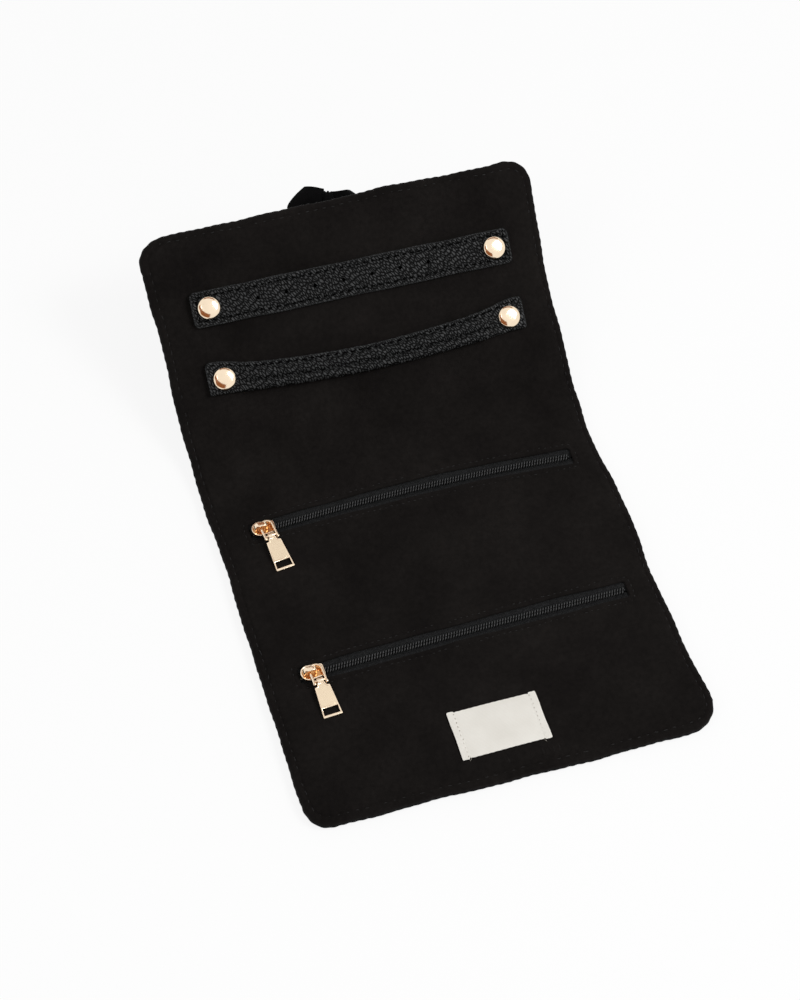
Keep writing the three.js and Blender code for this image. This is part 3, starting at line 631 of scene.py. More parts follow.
# The coils' filler cord is real, but its near-black colour paints shade into the gaps between the turns.
SHADE_CORD = thread_material("coil_shade_cord", (0.0012, 0.0012, 0.0012), 0.02, 0.0)
TAPE = tape_material()
THREAD = thread_material("black_thread", (0.0115, 0.011, 0.011), 0.12)
DARK_THREAD = thread_material("leather_thread", (0.0009, 0.0009, 0.0009), 0.02, 0.0)
LABEL_THREAD = thread_material("label_thread", (0.46, 0.42, 0.36), 0.2)
LABEL = label_material()
STEEL = steel_material()

# Zips: where their windows lie on the flat cloth; x runs along each zip
ZIP_LEFT = -73.9
ZIP_RIGHT = 76.25
ZIP_RISE = 4.0
WINDOW_SHIFT = 0.5
ZIP_CORNER = 1.0
ZIP_STITCH = 2.3
ZIP_PITCH = 2.7
ZIP_CENTRES = {"middle": 14.7, "bottom": -58.5}
ZIP_SLANTS = {"middle": math.radians(0.58), "bottom": math.radians(1.25)}
ZIP_BOWS = {"middle": 2.5, "bottom": 0.6}
SLIDER_X = -68.2
SLIDER_END_X = 70.55


def zip_line(name, x):
    """Gives the middle of a sewn zip at x: aslant, and bowed up between the slider's two stops."""
    middle = (SLIDER_X + SLIDER_END_X) / 2
    half = (SLIDER_END_X - SLIDER_X) / 2
    bow = ZIP_BOWS[name] * (1 - ((x - middle) / half) ** 2)
    return ZIP_CENTRES[name] + x * math.tan(ZIP_SLANTS[name]) + bow


def on_zip_line(name, flat):
    """Moves flat points from a straight zip to the sewn one."""
    return np.column_stack([flat[:, 0], flat[:, 1] + zip_line(name, flat[:, 0])])


# Padding: the lining is simulated as a cloth held along its seams and pushed up by the wadding
PADDING_EDGE = 3.0
PADDING_CORNER = 8.0
PADDING_EDGE_STEP = 2.0
PADDING_HOLE_CORNER = 2.0
PADDING_HOLE_STEP = 1.8
PADDING_STEP = 3.0
PADDING_FRAMES = 20
PADDING_SOFT = 2.0
PADDING_REACH = 2.4
PADDING_NEIGHBOURS = 9
PADDING_CLOTH = {
    "quality": 4, "mass": 0.1, "tension_stiffness": 15, "compression_stiffness": 15, "shear_stiffness": 5,
    "bending_stiffness": 0.5, "use_pressure": True, "uniform_pressure_force": 4.0,
    "vertex_group_mass": "held", "shrink_min": -0.004,
}
SWELL_LEAST = 0.26
SWELL_FLAP = (0.5, 18)
SWELL_END = (0.3, 8)
SWELL_END_START = -84
SPINE_DIP = 56.0
CREASES = ((-FOLD, 0.8), (FOLD + 3, 0.5), (SPINE_END - 3, 0.5), (SPINE_DIP, 0.95))
CREASE_WIDTH = 5


def padding_sheet():
    """Simulates the held cloth; returns its flat points and how far each one has risen, in millimetres."""
    outline, _ = round_box(
        -HALF_WIDTH + PADDING_EDGE, HALF_WIDTH - PADDING_EDGE,
        BOTTOM_END + PADDING_EDGE, FLAP_END - PADDING_EDGE, PADDING_CORNER, PADDING_EDGE_STEP,
    )
    seam = ZIP_RISE + ZIP_STITCH
    hole, _ = round_box(
        ZIP_LEFT - ZIP_STITCH, ZIP_RIGHT + ZIP_STITCH, -seam, seam, PADDING_HOLE_CORNER, PADDING_HOLE_STEP
    )
    holes = [on_zip_line(name, hole) for name in ZIP_CENTRES]
    flat, faces = fill(outline, holes, PADDING_STEP)
    sheet = make_object("padding", (np.column_stack([flat, np.zeros(len(flat))]) * MM, faces), SUEDE)
    held = len(outline) + len(holes) * len(hole)
    sheet.vertex_groups.new(name="held").add(list(range(held)), 1.0, "REPLACE")
    modifier = sheet.modifiers.new("cloth", "CLOTH")
    for key, value in PADDING_CLOTH.items():
        setattr(modifier.settings, key, value)
    modifier.settings.effector_weights.gravity = 0
    modifier.point_cache.frame_start = 1
    modifier.point_cache.frame_end = PADDING_FRAMES
    for number in range(1, PADDING_FRAMES + 1):
        bpy.context.scene.frame_set(number)
    settle(sheet)
    rise = np.array([vertex.co.z for vertex in sheet.data.vertices]) / MM
    bpy.data.objects.remove(sheet)
    bpy.context.scene.frame_set(1)
    return flat, rise


padding_flat, padding_rise = padding_sheet()
padding_tree = KDTree(len(padding_flat))
for index, (x, s) in enumerate(padding_flat):
    padding_tree.insert((x, s, 0), index)
padding_tree.balance()


def padding_at(x, s):
    """Gives the simulated rise at one place, blended from the nearest points."""
    found = padding_tree.find_n((x, s, 0), PADDING_NEIGHBOURS)
    shares = [math.exp(-((distance / PADDING_REACH) ** 2)) for _, _, distance in found]
    rises = [padding_rise[index] for _, index, _ in found]
    return sum(share * rise for share, rise in zip(shares, rises)) / (sum(shares) + 1e-9)


def swell(flat):
    """Gives the lining's rise and fall over its padding, in millimetres; it is low where the pulls lie."""
    s = flat[:, 1]
    most = SWELL_LEAST + SWELL_FLAP[0] * smooth_step((s - BEND_END) / SWELL_FLAP[1])
    most += SWELL_END[0] * smooth_step((SWELL_END_START - s) / SWELL_END[1])
    rise = most * np.tanh(np.array([padding_at(*point) for point in flat]) / PADDING_SOFT)
    return rise - sum(depth * bell(s - crease, CREASE_WIDTH) for crease, depth in CREASES)


# Panels: the lining on top and the velvet cover round the edges and underneath
STITCH_INSET = 3.0
EDGE_STEP = 0.66
SEAM_PITCH = 4.0
LINING_EDGE = (
    (0.0, -2.8), (0.06, -2.1), (0.3, -1.45), (0.75, -0.85), (1.3, -0.45), (1.9, -0.3), (2.4, -0.36),
    (2.75, -0.52), (3.0, -0.6), (3.25, -0.52), (3.7, -0.24), (4.4, 0.0), (5.6, 0.12), (7.0, 0.14),
)
COVER_EDGE = (
    (0.0, -2.8), (-0.12, -3.5), (-0.1, -4.3), (0.2, -5.2), (0.8, -5.95), (1.7, -6.36), (2.5, -6.34),
    (3.0, -6.22), (3.5, -6.34), (4.4, -6.47), (7.0, -6.5),
)
EDGE_DEPTH = 7.0
EDGE_PULL = 0.3
EDGE_DIP = (0.22, 0.8)
EDGE_WAVES = ((0.28, 19, 0.4), (0.2, 7.3, 0), (0.1, 3.1, 1))
RIGHT_EASE = (
    (-128, 1.6), (-118, 3.3), (-108, 2.6), (-97, 0.8), (-84, 1.2), (-68, 1.0), (-57, 0.0), (-44, 0.7),
    (-30, 2.4), (-14, 1.3), (-3, 1.5), (8, 0.2), (22, -1.2), (31, -1.1), (41, 0.5), (53, 1.0), (68, 2.0),
    (76, 1.8), (88, 1.0), (98, 0.7), (116, 0.8), (143, 1.8), (150, 3.5), (155, 4.5),
)
LEFT_EASE = (
    (-128, -0.4), (-80, 0.0), (-56, -0.7), (-22, -0.9), (-8, -1.8), (4, -1.3), (27, -0.4), (60, -0.2),
    (113, 0.0), (122, 0.9), (135, 1.8), (148, 2.6), (155, 2.2),
)
TOP_EASE = (
    (-90, 0.6), (-60, 0.6), (-41, 0.9), (-20, 1.0), (5, 1.7), (25, 2.7), (48, 2.6), (65, 1.9), (79, 2.0),
    (90, 4.5),
)
BOTTOM_EASE = ((-90, 0.4), (-50, 0.0), (-30, 0.2), (-10, 0.9), (30, 1.0), (45, 0.6), (90, 0.4))
EASE_DEPTH = 16.0
EASE_SMOOTH = 6.0


def eased(marks, places):
    """Gives a smoothed value between the listed marks."""
    at, value = np.array(marks, float).T
    offsets = np.linspace(-EASE_SMOOTH, EASE_SMOOTH, 7)
    return np.mean([np.interp(places + offset, at, value) for offset in offsets], axis=0)


def pucker(phase, weakest, count):
    """Gives how hard a seam draws the cloth in along its stitches: most at a stitch, 0 between two."""
    strength = rng.uniform(weakest, 1.0, count + 1)
    return (0.5 - 0.5 * np.cos(2 * math.pi * phase)) * np.interp(phase, np.arange(count + 1) + 0.5, strength)


edge, edge_out = round_box(
    -HALF_WIDTH, HALF_WIDTH, BOTTOM_END, FLAP_END, CORNER, EDGE_STEP, (LOWER_CUT, UPPER_CUT)
)
edge_ease = np.zeros(len(edge))
for marks, axis, sign in ((RIGHT_EASE, 0, 1), (LEFT_EASE, 0, -1), (TOP_EASE, 1, 1), (BOTTOM_EASE, 1, -1)):
    facing = np.clip(edge_out[:, axis] * sign, 0, 1) ** 2
    edge_ease += facing * eased(marks, edge[:, 1 - axis])
seam_loop = edge - edge_out * (STITCH_INSET - edge_ease * (1 - STITCH_INSET / EASE_DEPTH))[:, None]
seam_mark, seam_length = measured(seam_loop)
seam_places, seam_pitch = even_places(seam_length, SEAM_PITCH)
edge_pull = pucker(seam_mark / seam_pitch, 0.35, len(seam_places))
edge_drift = waves(seam_mark, *EDGE_WAVES)


def edge_rows(profile, fade_swell):
    """Makes the rows of points that follow the roll's edge, from the outside in."""
    rows = []
    for depth, height in profile:
        near = max(0.0, 1 - max(depth, 0) / EDGE_DEPTH)
        shift = (edge_drift - EDGE_PULL * edge_pull) * near + edge_ease * (1 - max(depth, 0) / EASE_DEPTH)
        flat = edge + edge_out * (shift - depth)[:, None]
        dip = EDGE_DIP[0] * edge_pull * bell(depth - STITCH_INSET, EDGE_DIP[1])
        rows.append(np.column_stack([flat, height - dip + swell(flat) * (1 - near) * fade_swell]))
    return rows


WINDOW_STEP = 0.45
WINDOW_DEPTH = 4.0
WINDOW_EDGE = (
    (0.25, -1.0), (0.0, -0.75), (0.02, -0.45), (0.18, -0.15), (0.5, 0.06), (1.0, 0.1), (1.6, -0.04),
    (2.0, -0.22), (2.3, -0.3), (2.6, -0.22), (3.1, 0.0), (WINDOW_DEPTH, 0.1),
)
WINDOW_PULL = 0.12
WINDOW_DIP = (0.14, 0.7)


def window_rows(name):
    """Makes the rows of points round a zip's window, from the folded hem outwards, and its seam."""
    loop, out = round_box(
        ZIP_LEFT, ZIP_RIGHT, WINDOW_SHIFT - ZIP_RISE, WINDOW_SHIFT + ZIP_RISE, ZIP_CORNER, WINDOW_STEP
    )
    seam = on_zip_line(name, loop + out * ZIP_STITCH)
    mark, length = measured(seam)
    places, pitch = even_places(length, ZIP_PITCH)
    pull = pucker(mark / pitch, 0.3, len(places))
    wander = waves(mark, (0.22, 13, ZIP_CENTRES[name]), (0.12, 5.1, 0)) - WINDOW_PULL * pull
    rows = []
    for depth, height in WINDOW_EDGE:
        near = max(0.0, 1 - depth / WINDOW_DEPTH)
        flat = on_zip_line(name, loop + out * (depth + wander * near)[:, None])
        dip = WINDOW_DIP[0] * pull * bell(depth - ZIP_STITCH, WINDOW_DIP[1])
        rows.append(np.column_stack([flat, height - dip + swell(flat) * (1 - near)]))
    return rows, along_loop(seam, places)


GRID_STEP = 2.6
UNDER_STEP = 4.0
CUT_POINTS = 66


def cut_lines(loop):
    """Makes the points of the straight cuts between the two sides of a loop."""
    lines = []
    for s in (LOWER_CUT, UPPER_CUT):
        on_cut = loop[np.abs(loop[:, 1] - s) < 1e-6, 0]
        lines.append([(x, s) for x in np.linspace(on_cut[on_cut > 0][0], on_cut[on_cut < 0][0], CUT_POINTS)])
    return lines


lining_rows = edge_rows(LINING_EDGE, 1.0)
parts = [(np.vstack(lining_rows), bands(len(lining_rows), len(edge)))]
inner_rows = [lining_rows[-1]]
zip_seams = {}
for name in ZIP_CENTRES:
    rows, zip_seams[name] = window_rows(name)
    inner_rows.append(rows[-1])
    parts.append((np.vstack(rows), flipped(bands(len(rows), len(rows[0])))))
outer, *holes = (rows[:, :2] for rows in inner_rows)
field, field_faces = fill(outer, holes, GRID_STEP, cut_lines(outer))
field_height = swell(field) + LINING_EDGE[-1][1]
rim_height = np.concatenate([rows[:, 2] for rows in inner_rows])
field_height[: len(rim_height)] = rim_height
lining_shape = merge(parts + [(np.column_stack([field, field_height]), field_faces)])

cover_rows = edge_rows(COVER_EDGE, 0.0)
under = cover_rows[-1][:, :2]
field, field_faces = fill(under, (), UNDER_STEP, cut_lines(under))
points, faces = merge([
    (np.vstack(cover_rows), bands(len(cover_rows), len(edge))),
    (np.column_stack([field, np.full(len(field), COVER_EDGE[-1][1])]), field_faces),
])
cover_shape = points, flipped(faces)

# Each section of the roll: its two cuts, the bodies it joins, where it bends, and what it stands for
SECTIONS = {
    "flap": (UPPER_CUT, 1e3, "spine", "flap", 59.0, 75.0),
    "upper": (LOWER_CUT, UPPER_CUT, "middle", "spine", 35.0, 51.0),
    "lower": (-1e3, LOWER_CUT, "bottom", "middle", -53.0, -33.0),
}
LINING_NODES = {
    "flap": ("flap_lining",),
    "upper": ("middle_lining", "spine_lining", "middle_pocket_back"),
    "lower": ("bottom_lining", "bottom_pocket_back"),
}
COVER_NODES = {
    "flap": ("flap_cover", "flap_wadding"),
    "upper": ("middle_cover", "spine_cover", "middle_wadding", "spine_wadding"),
    "lower": ("bottom_cover", "bottom_wadding"),
}
LINING_LENGTHS = {
    "flap": FLAP_END - UPPER_CUT, "upper": UPPER_CUT - LOWER_CUT, "lower": LOWER_CUT - BOTTOM_END,
}
LINING_THICKNESS = 0.6
COVER_THICKNESS = 0.9


def join_section(obj, section):
    """Bakes a piece's placement into its mesh; the places where its section's crease lies are worked out but
    nothing bends.
    """
    _, _, first, second, start, end = SECTIONS[section]
    spot(0, start)
    spot(0, end)
    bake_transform(obj)


def panel(kind, section, shape, material, thickness, nodes):
    """Makes one section of the lining or the cover."""
    low, high, *_ = SECTIONS[section]
    obj = cloth_object(f"{kind}_{section}", split(shape, low, high), material)
    weld(obj)
    thicken(obj, thickness)
    join_section(obj, section)
    dress(obj, nodes=nodes[section])
    return obj


for section, length in LINING_LENGTHS.items():
    lining = panel("lining", section, lining_shape, SUEDE, LINING_THICKNESS, LINING_NODES)
    cover = panel("cover", section, cover_shape, VELVET, COVER_THICKNESS, COVER_NODES)

# Seams along the edge, on the lining and on the cover
SEAM_HEIGHT = -0.58
UNDER_SEAM_HEIGHT = -6.26
SEAM_LENGTH = 2.8
SEAM_RADIUS = 0.2
SEAM_UNEVEN = 0.2
SINK = 0.3


def sunk(height, count):
    """Gives the heights of stitches that sink into the cloth by chance."""
    return height - SINK * rng.uniform(0, 1, count) ** 2


seam_centres, seam_runs = along_loop(seam_loop, seam_places)
for section, (low, high, *_) in SECTIONS.items():
    chosen = (seam_centres[:, 1] > low) & (seam_centres[:, 1] < high)
    centres, runs = seam_centres[chosen], seam_runs[chosen]
    heights = sunk(SEAM_HEIGHT, len(centres))
    top = stitches(centres, runs, heights, SEAM_LENGTH, SEAM_RADIUS, uneven=SEAM_UNEVEN)
    below = stitches(centres, runs, np.full(len(centres), UNDER_SEAM_HEIGHT), SEAM_LENGTH, SEAM_RADIUS, -1)
    seam = cloth_object(f"edge_stitches_{section}", merge([top, below]), THREAD)
    join_section(seam, section)
    dress(seam)

# Zips: tapes, coils and the stitching round each window
TAPE_HALF = 82.0
TAPE_OUTER = 11.4
TAPE_POINTS = 160
TAPE_THICKNESS = 0.35
TAPE_ROWS = (
    (0.3, -1.4), (0.9, -1.4), (1.5, -1.42), (1.9, -1.4), (2.2, -1.2), (2.5, -0.92), (2.9, -0.86),
    (3.5, -0.95), (4.4, -1.05), (6.0, -1.2), (8.5, -1.25), (TAPE_OUTER, -1.28),
)
COIL_PITCH = 1.24
COIL_WIRE = 0.27
COIL_OUTER = 1.45
COIL_LEFT = -73.6
COIL_RIGHT = 75.95
COIL_CENTRE = -0.25
COIL_RISE = 0.5
COIL_STEPS = 12
COIL_SIDES = 6
COIL_FLAT = (0.9, 0.35)
COIL_HEAD = 0.2
CORD_RADIUS = 0.23
CORD_WIDEN = 2.2
CORD_POINTS = 120
CORD_SIDES = 8
ZIP_SEAM_HEIGHT = -0.26
ZIP_SEAM_LENGTH = 1.7


def tape_half(name, side):
    """Makes one half of a zip's tape: flat cloth with a raised line where the coil is sewn on."""
    xs = np.linspace(-TAPE_HALF, TAPE_HALF, TAPE_POINTS)
    points = []
    for across, height in TAPE_ROWS:
        wave = waves(xs, (0.06, 9, across)) * min(1.0, across / 3)
        points.append(np.column_stack([xs, zip_line(name, xs) + side * across, height + wave]))
    faces = bands(len(TAPE_ROWS), TAPE_POINTS, closed=False)
    return np.vstack(points), faces if side > 0 else flipped(faces)


def flattened(value, power):
    return np.sign(value) * np.abs(value) ** power


def coil_half(name, side):
    """Makes one half of a zip's coil: a flattened spring whose heads meet the other half's."""
    turns = int((COIL_RIGHT - COIL_LEFT) / COIL_PITCH) - 1
    turn = np.arange(turns * COIL_STEPS) / COIL_STEPS
    x = COIL_LEFT + COIL_PITCH * ((1.0 if side > 0 else 0.5) + turn)
    swing = flattened(np.cos(2 * math.pi * turn), COIL_FLAT[0])
    across = COIL_OUTER / 2 - side * (COIL_OUTER / 2 - COIL_WIRE) * swing
    height = COIL_CENTRE + COIL_RISE * flattened(np.sin(2 * math.pi * turn), COIL_FLAT[1])
    head = 1 + COIL_HEAD * np.clip(side * swing, 0, 1) ** 3
    route = np.column_stack([x, zip_line(name, x) + side * across, height])
    return tube(route, COIL_WIRE * head, COIL_SIDES)


def coil_shade_cord(name, side):
    """Makes the flat filler cord inside one half of a zip's coil; its near-black colour paints shade into the
    gaps between the coil's turns.
    """
    x = np.linspace(COIL_LEFT + COIL_PITCH, COIL_RIGHT - COIL_PITCH, CORD_POINTS)
    middle = zip_line(name, x) + side * COIL_OUTER / 2
    points, faces = tube(np.column_stack([x, middle, np.full_like(x, COIL_CENTRE)]), CORD_RADIUS, CORD_SIDES)
    points[:, 1] += (points[:, 1] - np.repeat(middle, CORD_SIDES)) * (CORD_WIDEN - 1)
    return points, faces


for name in ZIP_CENTRES:
    for side, word in ((1, "upper"), (-1, "lower")):
        tape = cloth_object(f"{name}_tape_{word}", tape_half(name, side), TAPE)
        thicken(tape, TAPE_THICKNESS)
        dress(tape, name, (f"{name}_zip_tape_{word}",))
        coil = cloth_object(f"{name}_coil_{word}", coil_half(name, side), COIL)
        dress(coil, name, (f"{name}_zip_coil_{word}",))
        cord = cloth_object(f"{name}_cord_{word}", coil_shade_cord(name, side), SHADE_CORD)
        dress(cord, name)
    centres, runs = zip_seams[name]
    heights = sunk(ZIP_SEAM_HEIGHT, len(centres))
    shape = stitches(centres, runs, heights, ZIP_SEAM_LENGTH, SEAM_RADIUS, uneven=SEAM_UNEVEN)
    dress(cloth_object(f"{name}_zip_stitches", shape, THREAD), name)

# Sliders, rings and pulls, each made in its zip's own frame; levels are low, high, bevel and its steps
SLIDER_NOSE = 3.6
SLIDER_TAIL = 3.0
SLIDER_HALF = 5.2
SLIDER_RIM = 0.7
SLIDER_CORNER = 1.2
SLIDER_WALL = ((-1.4, 2.75), (4.6, 2.35), (4.6, 2.95), (-1.4, 3.5))
SLIDER_WEDGE = ((-4.6, 0.0), (-3.9, -1.2), (-2.2, -0.9), (-0.6, 0.0), (-2.2, 0.9), (-3.9, 1.2))
RIM_LEVELS = (7.5, 8.45, 0.24, 3)
FLOOR_LEVELS = (7.5, 8.05, 0.05, 1)
LOWER_LEVELS = (3.7, 4.6, 0.3, 3)
WALL_LEVELS = ((6.75, 7.7, 0.15, 2), (4.4, 4.7, 0.1, 2))
WEDGE_LEVELS = (4.4, 7.7, 0.1, 1)
BRIDGE_LEGS = (-3.8, 1.2)
BRIDGE_LEVELS = (8.0, 11.62)
BRIDGE_FOOT = 0.8
BRIDGE_TURN = 1.4
BRIDGE_SECTION = (2.2, 0.95, 0.42)
LEG_X = SLIDER_X + 1.2
RING_Z = 9.8
RING_BAR_Y = -5.55
RING_BAR_WIRE = 0.5
RING_HALF = 2.75
RING_ARCH = 2.2
RING_WIRE = 0.55
RING_SIDES = 12
RING_FOOT = RING_BAR_Y - 1.55
RING_LEG = (
    (RING_FOOT - 0.25, 0.25), (RING_FOOT - 0.1, 0.55), (RING_FOOT + 0.25, 0.74),
    (RING_FOOT + 0.65, 0.72), (RING_FOOT + 1.05, 0.58),
    (RING_BAR_Y, RING_WIRE), (RING_BAR_Y + 1.5, RING_WIRE), (RING_BAR_Y + 3.0, RING_WIRE),
)
PULL_DROOP = math.asin(2.5 / 16.7)
PULL_SWINGS = {"middle": math.radians(6.2), "bottom": math.radians(2.2)}
PULL_HALF = (
    (1.35, 0.9), (1.72, 1.25), (1.85, 2.0), (2.02, 2.45), (3.15, 2.72), (3.38, 2.95),
    (4.25, 16.4), (4.02, 16.7),
)
FACE_HALF = ((1.1, 1.5), (1.22, 2.3), (1.6, 3.0), (2.72, 3.4), (3.4, 11.8))
FACE_OVERLAP = 0.12
WINDOW_HALF = ((3.42, 12.5), (3.52, 15.65))
PULL_LEVELS = (-0.5, 0.5, 0.2, 3)
FACE_LEVELS = (-0.44, 0.4, 0.03, 1)
EYE_PROFILE = (
    (0.72, -1.45), (1.0, -1.45), (1.2, -1.25), (1.2, 1.25), (1.0, 1.45), (0.72, 1.45), (0.72, -1.45),
)
EYE_SIDES = 24
EVEN_WEIGHT = 60


def turned(first, second, angle):
    """Turns a pair of coordinates by an angle."""
    cos, sin = math.cos(angle), math.sin(angle)
    return first * cos - second * sin, first * sin + second * cos


def on_zip(name, points):
    """Lays points from a zip's own frame on its panel, in metres."""
    x, y, z = points.T
    x, y = turned(x, y, ZIP_SLANTS[name])
    return np.column_stack([x, y + ZIP_CENTRES[name], z]) * MM


def on_slider(name, points):
    return on_zip(name, points + (SLIDER_X, 0, 0))


def on_ring(name, points):
    """Lays points from a pull ring's own frame on its panel, in metres."""
    x, y, z = points.T
    return on_zip(name, np.column_stack([*turned(x, y, PULL_SWINGS[name]), z]) + (LEG_X, 0, RING_Z))


def on_pull(name, points):
    """Tips a pull plate down about its hinge and hangs it on its ring."""
    x, y, z = points.T
    return on_ring(name, np.column_stack([x, *turned(y, z, PULL_DROOP)]) + (0, RING_BAR_Y, 0))


def flat_shape(loops, levels):
    """Makes a flat piece with rounded edges from closed outlines in millimetres; later loops are holes."""
    low, high, bevel, steps = levels
    curve = bpy.data.curves.new("outline", "CURVE")
    curve.dimensions = "2D"
    curve.fill_mode = "BOTH"
    curve.extrude = ((high - low) / 2 - bevel) * MM
    curve.bevel_depth = bevel * MM
    curve.bevel_resolution = steps
    curve.offset = -bevel * MM
    for loop in loops:
        spline = curve.splines.new("POLY")
        spline.points.add(len(loop) - 1)
        for point, (x, y) in zip(spline.points, loop):
            point.co = (x * MM, y * MM, 0, 1)
        spline.use_cyclic_u = True
    obj = add_object("outline", curve)
    mesh = bpy.data.meshes.new_from_object(obj.evaluated_get(bpy.context.evaluated_depsgraph_get()))
    points = np.array([tuple(v.co) for v in mesh.vertices]) / MM + (0, 0, (low + high) / 2)
    faces = [tuple(p.vertices) for p in mesh.polygons]
    bpy.data.objects.remove(obj)
    bpy.data.curves.remove(curve)
    bpy.data.meshes.remove(mesh)
    return points, faces


def slider_outline(grow=0.0):
    """Walks round a slider's plate: a round nose on the left, a narrower square tail."""
    end = SLIDER_HALF + grow - SLIDER_CORNER
    tail = SLIDER_TAIL + grow - SLIDER_CORNER
    return np.vstack([
        arc(SLIDER_NOSE - SLIDER_HALF, 0, SLIDER_NOSE + grow, 90, 180, 24),
        arc(end, -tail, SLIDER_CORNER, -90, 90, 6),
        arc(end, tail, SLIDER_CORNER, 0, 90, 6),
    ])


def bridge():
    """Makes the slider's bridge: a rounded bar swept over two legs and a flat crown."""
    left, right = BRIDGE_LEGS
    low, high = BRIDGE_LEVELS
    wide, thick, rounding = BRIDGE_SECTION
    crown = high - BRIDGE_TURN
    route = np.vstack([
        [(left, low), (left, low + BRIDGE_FOOT)],
        arc(left + BRIDGE_TURN, crown, BRIDGE_TURN, 180, -90, 8),
        arc(right - BRIDGE_TURN, crown, BRIDGE_TURN, 90, -90, 8),
        [(right, low + BRIDGE_FOOT), (right, low)],
    ])
    run = np.gradient(route, axis=0)
    run /= np.hypot(*run.T)[:, None]
    y, z = wide / 2 - rounding, thick / 2 - rounding
    corners = enumerate(((y, z), (-y, z), (-y, -z), (y, -z)))
    section = np.vstack([arc(*corner, rounding, 90 * quarter, 90, 3) for quarter, corner in corners])
    points = [
        (x - run_z * up, across, z + run_x * up)
        for (x, z), (run_x, run_z) in zip(route, run) for across, up in section
    ]
    return np.array(points), flipped(capped(len(route), len(section)))


def slider_shape():
    """Makes a slider: a rimmed plate, a lower plate, side walls, wedge and bridge."""
    rim = [slider_outline(), slider_outline(-SLIDER_RIM)[::-1]]
    parts = [flat_shape(rim, RIM_LEVELS), flat_shape(rim[:1], LOWER_LEVELS)]
    for side in (1, -1):
        wall = [(x, side * y) for x, y in SLIDER_WALL][::-side]
        parts += [flat_shape([wall], levels) for levels in WALL_LEVELS]
    return merge(parts + [flat_shape([SLIDER_WEDGE], WEDGE_LEVELS), bridge()])


def ring_shape():
    """Makes the pull ring: an arch whose legs run past the cross bar and end in small knobs."""
    y, girth = np.array(RING_LEG).T
    legs = np.column_stack([np.full_like(y, RING_HALF), y])
    arch = arc(0, 0, RING_HALF, 0, 180, 24, RING_ARCH)
    route = np.vstack([legs, arch, legs[::-1] * (-1, 1)])
    radius = np.concatenate([girth, np.full(len(arch), RING_WIRE), girth[::-1]])
    bar = [(x, RING_BAR_Y, 0.0) for x in np.linspace(-RING_HALF, RING_HALF, 5)]
    wire = tube(np.column_stack([route, np.zeros(len(route))]), radius, RING_SIDES)
    return merge([wire, tube(bar, RING_BAR_WIRE, RING_SIDES)])


def pull_loop(half):
    """Closes the right half of a pull's outline; the pull lies from its hinge towards -y."""
    return [(x, -y) for x, y in reversed(half)] + [(-x, -y) for x, y in half]


def pull_shape():
    """Makes a pull's polished frame, open where its face and its window are, and the barrel it hangs by."""
    holes = [pull_loop(half)[::-1] for half in (FACE_HALF, WINDOW_HALF)]
    points, faces = lathe(EYE_PROFILE, 0, 0, EYE_SIDES)
    return merge([flat_shape([pull_loop(PULL_HALF), *holes], PULL_LEVELS), (points[:, (2, 0, 1)], faces)])


# Each metal piece of a zip: shape, how it is laid, material, body, if it stands for it, if its faces look flat
pull_inlay = flat_shape([pull_loop([(x + FACE_OVERLAP, y) for x, y in FACE_HALF])], FACE_LEVELS)
slider_floor = flat_shape([slider_outline(-SLIDER_RIM / 2)], FLOOR_LEVELS)
ZIP_METAL = {
    "slider_body": (slider_shape(), on_slider, GOLD, "slider", True, True),
    # The slider's floor takes the painted dark reflection.
    "slider_floor": (slider_floor, on_slider, GOLD_PAINTED_REFLECTION, "slider", False, False),
    "stirrup": (ring_shape(), on_ring, GOLD, "pull_ring", True, False),
    "pull": (pull_shape(), on_pull, GOLD, "pull_plate", True, True),
    "pull_face": (pull_inlay, on_pull, GOLD_SATIN, "pull_plate", False, True),
}
for name in ZIP_CENTRES:
    for piece, ((points, faces), lay, material, body, stands, evened) in ZIP_METAL.items():
        metal = make_object(f"{name}_{piece}", (lay(name, points), faces), material)
        if evened:
            metal.modifiers.new("even_normals", "WEIGHTED_NORMAL").weight = EVEN_WEIGHT
        dress(metal, f"{name}_{body}", (f"{name}_{body}",) if stands else ())

# Leather holders on the flap
HOLDER_HALF = 74.5
EARRING_ROW = SPINE_END + 53
BAR_ROW = SPINE_END + 21
ROOT_X = -60.0
ROOT_BEND = (-2.2, 5.5)
ROOT_HEIGHT = 2.6
SNAP_X = 67.0
PIT_DEPTH = 0.5
HOLDER_PITCH = 3.7
HOLDER_STITCH = 2.9
HOLDER_THREAD = 0.42
# Painted highlight along the leather's top folded edges
RIM_HIGHLIGHT_SHARE = 0.8
RIM_HIGHLIGHT_DEPTH = 0.45
RIM_HIGHLIGHT_LOW = 2.8
STRIP_HALF = 8.0
STRIP_EDGE = (
    (0.7, 1.62), (0.25, 1.7), (0.02, 2.0), (-0.05, 2.6), (0.0, 3.1), (0.16, 3.42), (0.5, 3.68), (0.85, 3.74),
    (1.3, 3.64), (1.7, 3.66), (2.0, 3.62), (2.25, 3.52), (2.5, 3.47), (2.75, 3.52), (3.0, 3.62), (3.6, 3.7),
    (4.4, 3.72),
)
STRIP_STEP = 0.5
STRIP_GRID = 2.0
STRIP_CORNER = 2.4
STRIP_SEAM = 2.5
STRIP_SEAM_HEIGHT = 3.18
STRIP_PIT_WIDTH = 0.42
STRIP_FRONT = 3
HOLE_PLACES = (np.arange(7) - 3) * 13.3 - 4.5
HOLE_PROFILE = ((1.15, 3.72), (0.95, 3.66), (0.8, 3.5), (0.75, 3.2), (0.75, 1.62))
HOLE_SIDES = 20


def stitch_pit(phase):
    """Gives how deep a seam is pressed in along its stitches."""
    return np.clip(0.75 - np.cos(2 * math.pi * phase), 0.2, 1)


